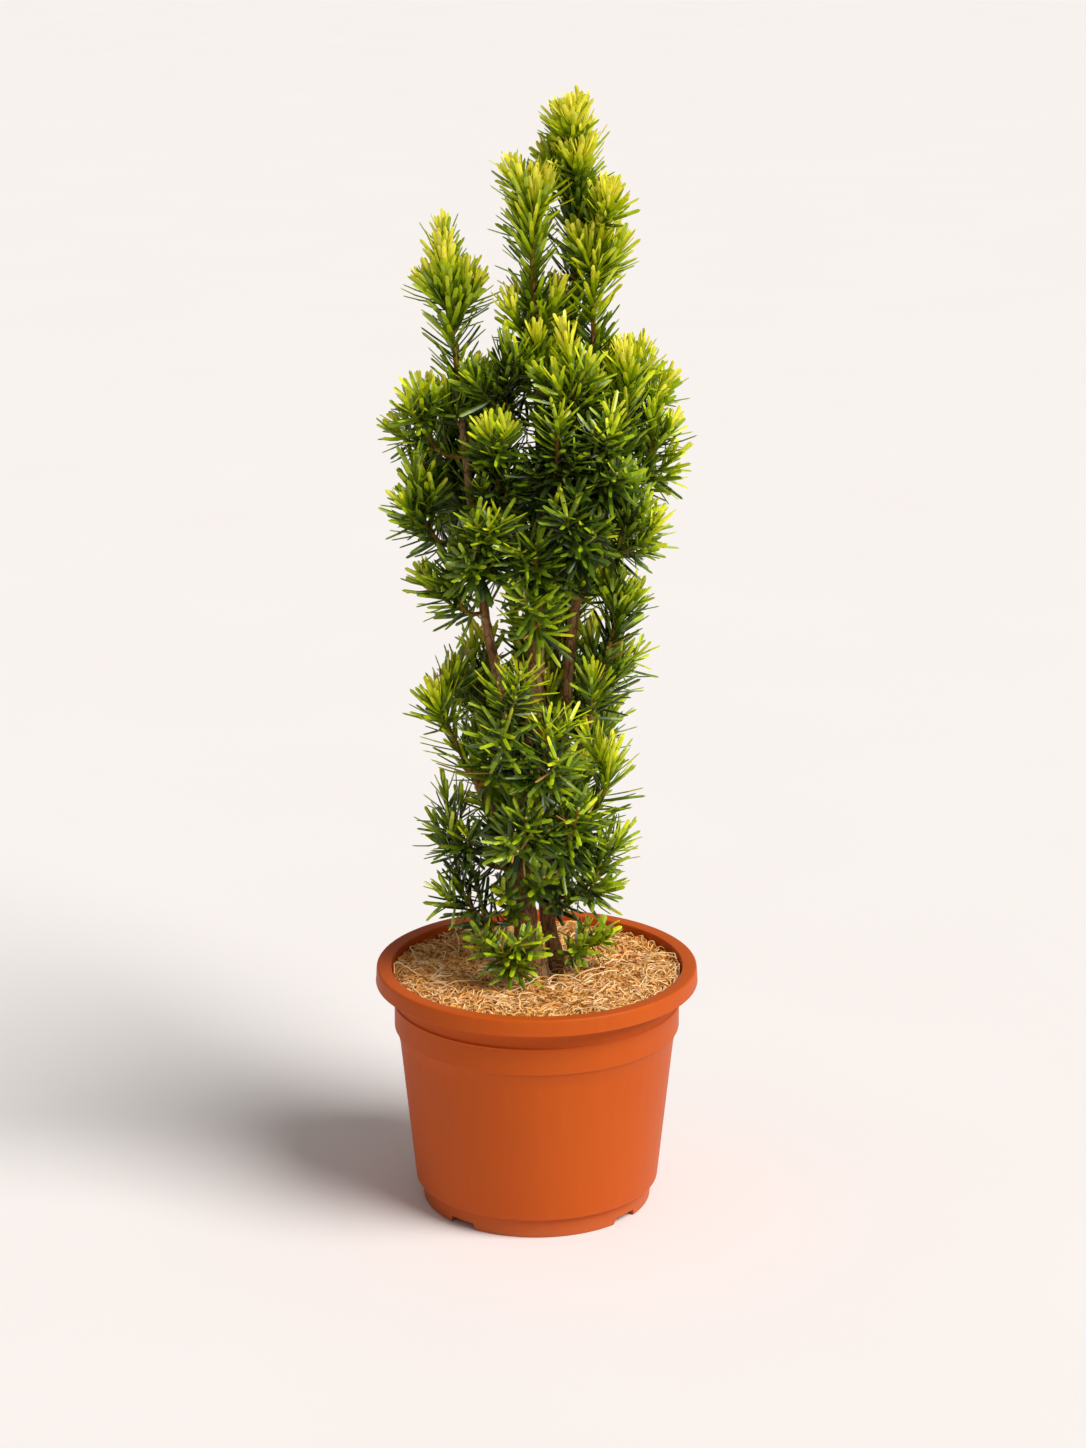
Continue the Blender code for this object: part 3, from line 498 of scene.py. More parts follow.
def moulded_polypropylene():
    """Terracotta-coloured polypropylene, injection moulded: satin, with faint flow marks."""
    paint, tree, place = blank("moulded_polypropylene")
    # Cloudy pigment, some 60 mm across.
    clouds = add(tree, "ShaderNodeTexNoise", {"Vector": place, "Scale": 16.0, "Detail": 3.0})
    # Flow marks run up the wall from the foot, about 5 mm wide.
    squeeze = add(tree, "ShaderNodeMapping", {"Vector": place, "Scale": (200.0, 200.0, 12.0)})
    flow = add(tree, "ShaderNodeTexNoise", {"Vector": squeeze.outputs["Vector"], "Scale": 1.0,
                                            "Detail": 2.0})
    body = add(tree, "ShaderNodeMix", {0: clouds.outputs["Fac"], 6: linear("#BC4F12"),
                                       7: linear("#C65715")}, data_type="RGBA")
    streak = add(tree, "ShaderNodeMapRange", {"Value": flow.outputs["Fac"], "From Min": 0.45,
                                              "From Max": 0.8, "To Max": 0.16})
    marked = add(tree, "ShaderNodeMix", {0: streak.outputs["Result"], 6: body.outputs[2],
                                         7: linear("#CE6224")}, data_type="RGBA")
    # Dry compost dust clings to the foot, less and less over 16 mm.
    height = add(tree, "ShaderNodeSeparateXYZ", {"Vector": place}).outputs["Z"]
    low = add(tree, "ShaderNodeMapRange", {"Value": height, "From Min": 16 * MM, "From Max": 0.0,
                                           "To Max": 0.35})
    specks = add(tree, "ShaderNodeTexNoise", {"Vector": place, "Scale": 420.0, "Detail": 4.0})
    dust = add(tree, "ShaderNodeMath", {0: low.outputs["Result"], 1: specks.outputs["Fac"]},
               operation="MULTIPLY")
    dusty = add(tree, "ShaderNodeMix", {0: dust.outputs["Value"], 6: marked.outputs[2],
                                        7: linear("#A98465")}, data_type="RGBA")
    satin = add(tree, "ShaderNodeMapRange", {"Value": clouds.outputs["Fac"], "To Min": 0.42,
                                             "To Max": 0.54})
    # The mould's spark-eroded grain, about 0.4 mm, drawn at 0.8 mm so that it shows.
    grain = add(tree, "ShaderNodeTexNoise", {"Vector": place, "Scale": 1250.0, "Detail": 2.0})
    bump = add(tree, "ShaderNodeBump", {"Height": grain.outputs["Fac"], "Strength": 0.16,
                                        "Distance": 0.1 * MM})
    return finished(paint, {"Base Color": dusty.outputs[2], "Roughness": satin.outputs["Result"],
                            "IOR": 1.49, "Specular IOR Level": 0.14,
                            "Normal": bump.outputs["Normal"]})


def damp_compost():
    """Damp peat-free compost: near black, matt, with pale grit and bark fines."""
    paint, tree, place = blank("damp_compost")
    # Crumbs are about 3 mm across, and the grit 2 mm.
    crumbs = add(tree, "ShaderNodeTexNoise", {"Vector": place, "Scale": 340.0, "Detail": 6.0})
    grit = add(tree, "ShaderNodeTexVoronoi", {"Vector": place, "Scale": 520.0})
    soil = add(tree, "ShaderNodeMix", {0: crumbs.outputs["Fac"], 6: linear("#160E09"),
                                       7: linear("#4A3322")}, data_type="RGBA")
    pale = add(tree, "ShaderNodeMapRange", {"Value": grit.outputs["Distance"], "From Min": 0.12,
                                            "From Max": 0.02, "To Max": 0.5})
    mixed = add(tree, "ShaderNodeMix", {0: pale.outputs["Result"], 6: soil.outputs[2],
                                        7: linear("#7C6043")}, data_type="RGBA")
    bump = add(tree, "ShaderNodeBump", {"Height": crumbs.outputs["Fac"], "Strength": 0.9,
                                        "Distance": 1.2 * MM})
    return finished(paint, {"Base Color": mixed.outputs[2], "Roughness": 0.9,
                            "Normal": bump.outputs["Normal"]})


def coir(name, dark, light, roughness=0.72):
    """Coconut husk fibre, combed and dried: tan, dull, in paler and darker lengths."""
    paint, tree, place = blank(name)
    # Pale and dark lengths are about 5 mm.
    patches = add(tree, "ShaderNodeTexNoise", {"Vector": place, "Scale": 210.0, "Detail": 4.0})
    spread = add(tree, "ShaderNodeMapRange", {"Value": patches.outputs["Fac"], "From Min": 0.3,
                                              "From Max": 0.7})
    tint = add(tree, "ShaderNodeMix", {0: spread.outputs["Result"], 6: linear(dark),
                                       7: linear(light)}, data_type="RGBA")
    # Short husk scales along a strand, about 0.7 mm.
    scales = add(tree, "ShaderNodeTexNoise", {"Vector": place, "Scale": 1400.0})
    bump = add(tree, "ShaderNodeBump", {"Height": scales.outputs["Fac"], "Strength": 0.4,
                                        "Distance": 0.15 * MM})
    return finished(paint, {"Base Color": tint.outputs[2], "Roughness": roughness,
                            "Specular IOR Level": 0.2, "Normal": bump.outputs["Normal"]})


def yew_bark():
    """Yew bark, thin and peeling: red-brown plates over darker cracks, matt."""
    paint, tree, place = blank("yew_bark")
    # Plates are about 3 mm wide and 9 mm long, up the stem.
    stretch = add(tree, "ShaderNodeMapping", {"Vector": place, "Scale": (330.0, 330.0, 110.0)})
    plates = add(tree, "ShaderNodeTexVoronoi", {"Vector": stretch.outputs["Vector"], "Scale": 1.0},
                 feature="DISTANCE_TO_EDGE")
    fibres = add(tree, "ShaderNodeTexNoise", {"Vector": stretch.outputs["Vector"], "Scale": 2.2,
                                              "Detail": 6.0, "Distortion": 0.6})
    wide = add(tree, "ShaderNodeTexNoise", {"Vector": place, "Scale": 60.0, "Detail": 3.0})
    warm = add(tree, "ShaderNodeMix", {0: fibres.outputs["Fac"], 6: linear("#553821"),
                                       7: linear("#BA8150")}, data_type="RGBA")
    patch = add(tree, "ShaderNodeMapRange", {"Value": wide.outputs["Fac"], "From Min": 0.45,
                                             "From Max": 0.72, "To Max": 0.65})
    worn = add(tree, "ShaderNodeMix", {0: patch.outputs["Result"], 6: warm.outputs[2],
                                       7: linear("#DDB37E")}, data_type="RGBA")
    crack = add(tree, "ShaderNodeMapRange", {"Value": plates.outputs["Distance"], "From Min": 0.1,
                                             "From Max": 0.0, "To Max": 0.75})
    cracked = add(tree, "ShaderNodeMix", {0: crack.outputs["Result"], 6: worn.outputs[2],
                                          7: linear("#20120B")}, data_type="RGBA")
    bump = add(tree, "ShaderNodeBump", {"Height": fibres.outputs["Fac"], "Strength": 0.7,
                                        "Distance": 0.5 * MM})
    return finished(paint, {"Base Color": cracked.outputs[2], "Roughness": 0.82,
                            "Specular IOR Level": 0.25, "Normal": bump.outputs["Normal"]})


def young_wood(name, dark, light):
    """Shoots of the last two years: smooth, ribbed by the needles' running bases."""
    paint, tree, place = blank(name)
    # Ribs are about 1 mm wide and 6 mm long, up the shoot.
    ribs = add(tree, "ShaderNodeMapping", {"Vector": place, "Scale": (900.0, 900.0, 160.0)})
    streaks = add(tree, "ShaderNodeTexNoise", {"Vector": ribs.outputs["Vector"], "Scale": 1.0,
                                               "Detail": 3.0})
    tint = add(tree, "ShaderNodeMix", {0: streaks.outputs["Fac"], 6: linear(dark),
                                       7: linear(light)}, data_type="RGBA")
    bump = add(tree, "ShaderNodeBump", {"Height": streaks.outputs["Fac"], "Strength": 0.5,
                                        "Distance": 0.3 * MM})
    return finished(paint, {"Base Color": tint.outputs[2], "Roughness": 0.6,
                            "Specular IOR Level": 0.25, "Normal": bump.outputs["Normal"]})


def waxy_needle(name, code):
    """A living yew needle: leathery under a thin wax, so glossy, with light glowing through."""
    paint, tree, place = blank(name)
    # Tint drifts a little from one needle to the next, over about 8 mm.
    drift = add(tree, "ShaderNodeTexNoise", {"Vector": place, "Scale": 120.0, "Detail": 2.0})
    swing = add(tree, "ShaderNodeMapRange", {"Value": drift.outputs["Fac"], "From Min": 0.3,
                                             "From Max": 0.7, "To Min": 0.84, "To Max": 1.14})
    tint = add(tree, "ShaderNodeHueSaturation", {"Color": linear(code),
                                                 "Value": swing.outputs["Result"]})
    # The skin's fine lengthwise ripple, about 0.6 mm.
    ripple = add(tree, "ShaderNodeTexNoise", {"Vector": place, "Scale": 1600.0})
    bump = add(tree, "ShaderNodeBump", {"Height": ripple.outputs["Fac"], "Strength": 0.15,
                                        "Distance": 0.1 * MM})
    return finished(paint, {"Base Color": tint.outputs["Color"], "Roughness": 0.32, "IOR": 1.45,
                            "Specular IOR Level": 0.6, "Subsurface Weight": 0.2,
                            "Subsurface Radius": (0.6, 1.0, 0.15),
                            "Subsurface Scale": 0.8 * MM, "Normal": bump.outputs["Normal"]})


def studio_paint():
    """Warm white rolled paint on a studio floor, matt."""
    paint, tree, place = blank("studio_paint")
    # The roller's unevenness is some 250 mm across.
    grain = add(tree, "ShaderNodeTexNoise", {"Vector": place, "Scale": 4.0, "Detail": 2.0})
    tint = add(tree, "ShaderNodeMix", {0: grain.outputs["Fac"], 6: linear("#F1EAE6"),
                                       7: linear("#F4EEEA")}, data_type="RGBA")
    return finished(paint, {"Base Color": tint.outputs[2], "Roughness": 0.95})


# Pieces

def put(name, data):
    """A new object in the scene, with this mesh, camera or light."""
    thing = bpy.data.objects.new(name, data)
    bpy.context.scene.collection.objects.link(thing)
    return thing


def finish_piece(name, mesh, paint, nodes, smooth_angle=None):
    """Put a mesh in the scene at the origin, riding on the plant, in place of its CAD nodes."""
    if smooth_angle is not None:
        mesh.shade_smooth()
        mesh.set_sharp_from_angle(angle=math.radians(smooth_angle))
    mesh.materials.clear()
    mesh.materials.append(paint)
    piece = put(name, mesh)
    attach(piece, "root")
    if nodes:
        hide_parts(*nodes)


def mesh_from(name, bm):
    """A mesh with its faces outwards, from a bmesh that is done with."""
    bmesh.ops.recalc_face_normals(bm, faces=bm.faces)
    mesh = bpy.data.meshes.new(name)
    bm.to_mesh(mesh)
    bm.free()
    return mesh


def turned(bm, outline, steps):
    """Turn an outline once round the pot's axis and close its seam."""
    bmesh.ops.spin(bm, geom=outline, axis=(0, 0, 1), cent=(0, 0, 0), angle=math.tau,
                   steps=steps, use_merge=True)
    bmesh.ops.remove_doubles(bm, verts=bm.verts, dist=MERGE)


def stalk(sides, scales, pointed):
    """A unit stalk up Z with one ring for each scale, closed at both ends.

    Returns each vertex's place in its ring, its ring's number, and the faces.
    """
    bm = bmesh.new()
    bmesh.ops.create_circle(bm, cap_ends=True, segments=sides, radius=scales[0])
    bm.faces.ensure_lookup_table()
    cap = bm.faces[0]
    for index in range(1, len(scales)):
        grown = bmesh.ops.extrude_face_region(bm, geom=[cap])["geom"]
        if index > 1:
            bmesh.ops.delete(bm, geom=[cap], context="FACES_ONLY")
        ring = [item for item in grown if isinstance(item, bmesh.types.BMVert)]
        grow = scales[index] / scales[index - 1]
        bmesh.ops.scale(bm, vec=(grow, grow, 1.0), verts=ring)
        bmesh.ops.translate(bm, vec=(0, 0, 1), verts=ring)
        cap = next(item for item in grown if isinstance(item, bmesh.types.BMFace))
    if pointed:
        tip = bmesh.ops.poke(bm, faces=[cap])["verts"][0]
        tip.co.z += 1.0
    bmesh.ops.recalc_face_normals(bm, faces=bm.faces)
    bm.verts.index_update()
    places = np.array([vert.co for vert in bm.verts])
    faces = [[vert.index for vert in face.verts] for face in bm.faces]
    bm.free()
    return places[:, :2], np.rint(places[:, 2]).astype(int), faces


def strew(name, template, paths, sides, overs, widths, depths):
    """One mesh of many stalks. Arrays are by stalk, then by ring; widths and depths are half sizes."""
    spots, rings, faces = template
    across = sides[:, rings] * (widths[:, rings] * spots[:, 0])[:, :, None]
    upward = overs[:, rings] * (depths[:, rings] * spots[:, 1])[:, :, None]
    places = paths[:, rings] + across + upward
    many, each = places.shape[:2]
    corners = np.array([corner for face in faces for corner in face])
    sizes = np.array([len(face) for face in faces])
    loops = (np.arange(many)[:, None] * each + corners).ravel()
    starts = np.concatenate(([0], np.cumsum(np.tile(sizes, many))[:-1]))
    mesh = bpy.data.meshes.new(name)
    mesh.vertices.add(many * each)
    mesh.vertices.foreach_set("co", places.astype(np.float32).ravel())
    mesh.loops.add(len(loops))
    mesh.loops.foreach_set("vertex_index", loops.astype(np.int32))
    mesh.polygons.add(len(starts))
    mesh.polygons.foreach_set("loop_start", starts.astype(np.int32))
    mesh.update(calc_edges=True)
    mesh.validate()
    return mesh


def unit(vector):
    """Vectors of length one, along the last axis."""
    return vector / np.linalg.norm(vector, axis=-1, keepdims=True)


def tangents(path):
    """Directions along a path at its points."""
    return unit(np.gradient(path, axis=-2))


def ring_frames(paths, hint):
    """Side and over directions at each ring, square to the path, turned as little as may be."""
    ahead = tangents(paths)
    side = np.broadcast_to(np.array(hint, float), ahead[:, 0].shape)
    sides = np.zeros_like(ahead)
    for index in range(paths.shape[1]):
        now = ahead[:, index]
        side = unit(side - now * np.sum(side * now, axis=-1, keepdims=True))
        sides[:, index] = side
    return sides, np.cross(ahead, sides)


# Growth, by the same rule and the same seed as the solids

def smooth_path(points, step):
    """Points about one step apart on a Catmull-Rom curve through the given ones."""
    ends = [2 * points[0] - points[1]] + list(points) + [2 * points[-1] - points[-2]]
    path = [points[0]]
    for a, b, c, d in zip(ends, ends[1:], ends[2:], ends[3:]):
        count = max(1, round(np.linalg.norm(c - b) / step))
        for index in range(1, count + 1):
            t = index / count
            path.append(0.5 * (2 * b + (c - a) * t + (2 * a - 5 * b + 4 * c - d) * t * t
                               + (3 * b - a - 3 * c + d) * t ** 3))
    return np.array(path)


def bent_path(start, bend, end, step):
    """Points about one step apart on a curve that leaves start towards bend."""
    count = max(2, round(np.linalg.norm(end - start) / step))
    t = np.linspace(0, 1, count + 1)[:, None]
    return (1 - t) ** 2 * start + 2 * t * (1 - t) * bend + t ** 2 * end


def length_of(path):
    """Length along a path."""
    return np.linalg.norm(np.diff(path, axis=0), axis=1).sum()


def point_at(path, height):
    """Point where a rising path crosses a height."""
    return np.array([np.interp(height, path[:, 2], path[:, axis]) for axis in range(3)])


def distances(points, starts, ends):
    """Distance from each of many points to each of many straight pieces."""
    run = ends - starts
    away = points[:, None] - starts
    share = np.clip(np.einsum("pij,ij->pi", away, run) / np.einsum("ij,ij->i", run, run), 0, 1)
    return np.linalg.norm(away - share[:, :, None] * run, axis=2)


def limb_plan():
    """Axis and radius of every limb, worked out from the table."""
    plan = {}
    for name, (carrier, height, foot, tip, way) in LIMBS.items():
        points = [np.array(point) * MM for point in way]
        if carrier:
            points.insert(0, point_at(plan[carrier]["path"], height * MM))
        path = smooth_path(points, LIMB_STEP)
        share = np.linspace(0, 1, len(path))
        radii = (foot + (tip - foot) * share ** LIMB_TAPER) * MM
        if carrier is None:
            radii = radii * (1 + ROOT_FLARE * np.exp(-(path[:, 2] - path[0, 2]) / ROOT_FLARE_HEIGHT))
        plan[name] = {"path": path, "radii": radii, "points": points, "carrier": carrier}
    return plan


def main_axis(plan, limb_name, height, reach):
    """The curve of a mass's own stem, from its limb to the point it reaches."""
    limb = plan[limb_name]
    path = limb["path"]
    end = np.array(reach) * MM
    if height is None:
        out = tangents(path)[-1]
        start = path[-1] + out * GAP
        bend = start + out * STEM_BEND_TIP * np.linalg.norm(end - start)
    else:
        foot = point_at(path, height * MM)
        ahead = unit(point_at(path, (height + LIMB_AHEAD) * MM) - foot)
        out = end - foot
        out = unit(out - ahead * np.dot(out, ahead))
        radius = np.interp(height * MM, path[:, 2], limb["radii"])
        start = foot + out * (radius + GAP)
        bend = start + out * STEM_BEND_SIDE * np.linalg.norm(end - start)
    return bent_path(start, bend, end, RING_STEP)


def side_axis(path, where, turn, length, angle):
    """A side shoot that leaves its parent at an angle and bends upwards."""
    index = min(len(path) - 2, int(where * (len(path) - 1)))
    ahead = tangents(path)[index]
    across = unit(np.cross(ahead, SIDE_HINT))
    over = np.cross(ahead, across)
    out = across * math.cos(turn) + over * math.sin(turn)
    lean = math.radians(angle)
    away = ahead * math.cos(lean) + out * math.sin(lean)
    start = path[index]
    end = start + away * SIDE_OUT * length + np.array((0, 0, SIDE_UP * length))
    return bent_path(start, start + away * SIDE_BEND * length, end, RING_STEP)


def has_room(side, parent, stems, plan, room):
    """Whether a shoot stays clear of other shoots, of the limbs and of the fibre."""
    points = side[FREE_FROM:]
    if points[:, 2].min() < SOIL_TOP + room:
        return False
    paths = [limb["path"] for limb in plan.values()]
    paths += [other["path"] for other in stems if other is not parent]
    starts = np.concatenate([path[:-1] for path in paths])
    ends = np.concatenate([path[1:] for path in paths])
    return distances(points, starts, ends).min() >= room


def side_axes(rng, path, count, full, lean, rule):
    """The shoots that a rule gives along a parent, in a spiral, each when it is asked for."""
    turn = rng.uniform(0, math.tau)
    for index in range(count):
        turn += GOLDEN_ANGLE + rng.uniform(-rule["swing"], rule["swing"])
        where = rule["start"] + rule["run"] * (index + rng.uniform(*rule["spot"])) / count
        reach = full * rng.uniform(*rule["vary"]) * (rule["at_foot"] - rule["fall"] * where)
        yield side_axis(path, where, turn, reach, lean)


def grow_shoots(plan):
    """Main shoots from the table, then side shoots by a seeded rule where there is room."""
    rng = random.Random(SEED)
    shoots = []
    for name, row in MASSES.items():
        shoots.append({"mass": name, "path": main_axis(plan, *row), "radius": MAIN_RADIUS})
    for parent in list(shoots):
        mass, path = parent["mass"], parent["path"]
        spacing, full, lean = SIDE_SPACING, SIDE_LENGTH, SIDE_ANGLE
        if MASSES[mass][1] is None:
            spacing, full, lean = SIDE_SPACING_TIP, PLUME_LENGTH, PLUME_ANGLE
        count = max(1, round(length_of(path) / spacing))
        for side in side_axes(rng, path, count, full, lean, SIDE_RULE):
            if has_room(side, parent, shoots, plan, SIDE_ROOM):
                shoots.append({"mass": mass, "path": side, "radius": SIDE_RADIUS})
    return shoots


def grow_twigs(shoots, plan):
    """The rule carried one step finer: short twigs on every shoot, where there is room."""
    rng = random.Random(SEED + 1)
    grown = list(shoots)
    for parent in shoots:
        mass, path = parent["mass"], parent["path"]
        lean = PLUME_ANGLE if MASSES[mass][1] is None else SIDE_ANGLE
        rule = STAR_TWIG_RULE if mass in STAR_MASSES else TWIG_RULE
        count = max(1, round(length_of(path) / TWIG_SPACING))
        if mass in BARE_MASSES:
            count = 0
        for side in side_axes(rng, path, count, TWIG_LENGTH, lean, rule):
            if has_room(side, parent, grown, plan, TWIG_ROOM):
                grown.append({"mass": mass, "path": side, "radius": TWIG_RADIUS})
    return grown


def grow_limb_twigs(stems, plan):
    """Short leafy twigs straight from the limbs, but not where the photograph shows bare stems."""
    rng = random.Random(SEED + 4)
    grown = list(stems)
    for name, limb in plan.items():
        length = length_of(limb["path"])
        path, _ = resample(limb["path"], int(length / RING_STEP))
        count = int(length / LIMB_TWIG_SPACING)
        lowest = TRUNK_TWIG_FOOT if name == "trunk" else LIMB_TWIG_FOOT
        for side in side_axes(rng, path, count, LIMB_TWIG_LENGTH, SIDE_ANGLE, LIMB_TWIG_RULE):
            foot = side[0, 2]
            bare = name in FRONT_STEMS and BARE_FROM < foot < BARE_TO
            if bare or foot < lowest:
                continue
            if has_room(side, None, grown, {}, LIMB_TWIG_ROOM):
                grown.append({"mass": TIP_PLUMES[name], "path": side, "radius": TWIG_RADIUS})
    return grown


def clothe_limbs(stems, plan):
    """Twigs at the stems' foot, and each limb's top as a stem with needles but no wood of its own."""
    grown = list(stems)
    for mass, foot, tip in FOOT_TWIGS:
        start, end = np.array(foot) * MM, np.array(tip) * MM
        bend = (start + end) / 2 - np.array((0, 0, FOOT_TWIG_SAG))
        grown.append({"mass": mass, "path": bent_path(start, bend, end, RING_STEP),
                      "radius": TWIG_RADIUS})
    for name, limb in plan.items():
        path, spots = resample(limb["path"], CLOTHED_POINTS)
        part = path[spots > spots[-1] - CLOTHED_LENGTH]
        grown.append({"mass": TIP_PLUMES[name], "path": part, "radius": 0.0})
    return grown


def resample(path, count):
    """A path as this many points, evenly apart, with the length run at each."""
    run = np.concatenate(([0], np.cumsum(np.linalg.norm(np.diff(path, axis=0), axis=1))))
    spots = np.linspace(0, run[-1], count)
    return np.stack([np.interp(spots, run, path[:, axis]) for axis in range(3)], axis=1), spots


# Bark

def make_bark(name, limb, paint):
    """One limb as a fine tube whose surface carries plates, cracks and the root's flutes."""
    path = smooth_path(limb["points"], BARK_STEP)
    share = np.linspace(0, 1, len(path))
    radii = np.interp(share, np.linspace(0, 1, len(limb["radii"])), limb["radii"])
    around = STOUT_SIDES if limb["radii"][0] > STOUT_RADIUS else SLIM_SIDES
    template = stalk(around, [1.0] * len(path), False)
    mesh = strew("bark_" + name, template, path[None], *ring_frames(path[None], BARK_HINT),
                 radii[None], radii[None])
    places = np.zeros(len(mesh.vertices) * 3, np.float32)
    mesh.vertices.foreach_get("co", places)
    places = places.reshape(-1, 3).astype(float)
    centres = path[template[1]]
    for index in range(len(places)):
        out = places[index] - centres[index]
        radius = np.linalg.norm(out)
        at = Vector(places[index])
        plate = noise.cell(Vector((at.x / PLATE_WIDTH, at.y / PLATE_WIDTH, at.z / PLATE_HEIGHT)))
        crack = noise.noise(Vector((at.x / CRACK_WIDTH, at.y / CRACK_WIDTH, at.z / CRACK_HEIGHT)))
        swell = noise.noise(at / SWELL_SIZE)
        depth = PLATE_DEPTH * plate + CRACK_DEPTH * crack + SWELL_DEPTH * swell
        if limb["carrier"] is None:
            turn = math.atan2(out[1], out[0])
            rise = math.exp(-(at.z - path[0, 2]) / ROOT_FLARE_HEIGHT)
            depth += FLUTE_DEPTH * rise * math.cos(FLUTE_COUNT * turn + FLUTE_TURN)
        places[index] = centres[index] + out * (1 + depth * min(1.0, radius / FULL_RELIEF))
    mesh.vertices.foreach_set("co", places.astype(np.float32).ravel())
    mesh.update()
    finish_piece("bark_" + name, mesh, paint, [name], smooth_angle=40)


# Twigs and needles

def make_twigs(stems):
    """The woody part of every shoot: brown on main shoots, green-gold on the young ones."""
    template = stalk(TWIG_SIDES, [1.0] * TWIG_RINGS, False)
    taper = np.linspace(1.0, TWIG_TAPER, TWIG_RINGS)
    kinds = (("twigs_brown", (MAIN_RADIUS,), young_wood("two_year_wood", "#6B4A18", "#A87B26")),
             ("twigs_green", (SIDE_RADIUS, TWIG_RADIUS),
              young_wood("first_year_wood", "#66701A", "#A8962C")))
    for name, girths, paint in kinds:
        group = [stem for stem in stems if stem["radius"] in girths]
        paths = np.array([resample(stem["path"], TWIG_RINGS)[0] for stem in group])
        paths[:, 0] -= unit(paths[:, 1] - paths[:, 0]) * TWIG_SINK
        widths = np.array([stem["radius"] for stem in group])[:, None] * taper
        mesh = strew(name, template, paths, *ring_frames(paths, SHOOT_HINT), widths, widths)
        finish_piece(name, mesh, paint, list(MASSES), smooth_angle=50)


def crowding(stems):
    """For each stem, how many points of other stems lie near, as a share of the most."""
    spots = [resample(stem["path"], CROWD_POINTS)[0] for stem in stems]
    tree = kdtree.KDTree(CROWD_POINTS * len(stems))
    for number, path in enumerate(spots):
        for place in path:
            tree.insert(place, number)
    tree.balance()
    counts = np.array([[sum(found[1] != number for found in tree.find_range(place, CROWD_REACH))
                        for place in path] for number, path in enumerate(spots)], float)
    return counts / counts.max()


def needle_tone(tip, age, crowd, mood, gold, low_down, plume):
    """A needle's tint, in steps from the darkest, but for its own swing."""
    # Painted light far out from the axis and to the right, towards the key, and painted shade where
    # other shoots crowd the needle.
    outside_light = min(1.0, np.hypot(tip[0], tip[1]) / OUTSIDE_RADIUS)
    high_up = max(0.0, (tip[2] - HIGH_FROM) / HIGH_RUN)
    ripe = TONE["plume"] if plume else TONE["spray"]
    return (TONE["all"] + mood + gold * (GOLD_AT_FOOT + GOLD_WITH_AGE * age)
            + TONE["outside_light"] * outside_light - TONE["crowded_shade"] * crowd
            + (ripe - low_down) * age ** TONE["age_curve"] + TONE["high"] * high_up
            + TONE["low"] * low_down + TONE["right"] * tip[0] / RIGHT_REACH)


def needle_size(rng, stem, index, height, age, plume):
    """A needle's length, and the factor of its width."""
    size = NEEDLE_LENGTH * rng.uniform(*LENGTH_VARY) * (1 - TIP_SHORTER * age ** 3)
    girth = rng.uniform(*GIRTH_VARY)
    if stem["radius"] == TWIG_RADIUS:
        size *= PLUME_TWIG_NEEDLE if plume else TWIG_NEEDLE
    if index < FIRST_NEEDLES:
        size *= FIRST_LENGTH
    if height < LOW_HEIGHT:
        size *= LOW_LENGTH
        girth *= LOW_WIDTH
    if stem["mass"] in SHORT_MASSES:
        size *= SHORT_LENGTH
        girth *= SHORT_WIDTH
    return size, girth


def lay_needles(stems):
    """Place, direction, size and tint of each needle, in a spiral round each stem."""
    rng = np.random.default_rng(SEED)
    crowds = crowding(stems)
    rows = []
    for number, stem in enumerate(stems):
        run = length_of(stem["path"])
        plume = MASSES[stem["mass"]][1] is None
        spacing = PLUME_NEEDLE_SPACING if plume else NEEDLE_SPACING
        if stem["path"][-1, 2] < LOW_HEIGHT:
            spacing *= LOW_SPACING
        count = max(LEAST_NEEDLES, int((run - NEEDLE_FOOT) / spacing))
        path, spots = resample(stem["path"], STEM_POINTS)
        ahead_all = tangents(path)
        sides, overs = ring_frames(path[None], SHOOT_HINT)
        gold = GOLDEN_MASSES.get(stem["mass"], 0.0)
        low, high = CROWN_SPREAD
        if stem["mass"] in STAR_MASSES:
            low, high = STAR_SPREAD
        elif plume:
            low, high = BRUSH_SPREAD
        mood = rng.normal(0, TONE["shoot"])
        start_turn = rng.uniform(0, math.tau)
        for index in range(count):
            share = (index + rng.uniform(*NEEDLE_SPOT)) / count
            along = NEEDLE_FOOT + (run - NEEDLE_FOOT) * share
            row = int(along / run * (STEM_POINTS - 1))
            root = np.array([np.interp(along, spots, path[:, axis]) for axis in range(3)])
            ahead, side, over = ahead_all[row], sides[0, row], overs[0, row]
            turn = start_turn + index * GOLDEN_ANGLE + rng.normal(0, NEEDLE_TURN_VARY)
            out = side * math.cos(turn) + over * math.sin(turn)
            age = along / run if stem["radius"] else LIMB_AGE
            lean = math.radians(low + (high - low) * age ** LEAN_CURVE + rng.normal(0, LEAN_VARY))
            heading = unit(out * math.cos(lean) + ahead * math.sin(lean))
            face = unit(ahead - heading * np.dot(ahead, heading) + rng.normal(0, FACE_VARY, 3))
            size, girth = needle_size(rng, stem, index, root[2], age, plume)
            tip = root + heading * size
            # How crowded the shoot is here, which darkens the needle as painted shade.
            crowd = crowds[number, int(age * CROWD_SPAN)]
            low_down = min(1.0, max(0.0, (LOW_FROM - tip[2]) / LOW_RUN))
            tone = needle_tone(tip, age, crowd, mood, gold, low_down, plume)
            tone += rng.normal(0, TONE["needle"])
            arch = rng.normal(*(ARCH if low_down < 1.0 else LOW_ARCH))
            dry = root[2] < DRY_BELOW and rng.random() < DRY_SHARE
            if dry:
                girth *= DRY_GIRTH
            rows.append((root, heading, face, size, arch, tone, girth, dry))
    return rows


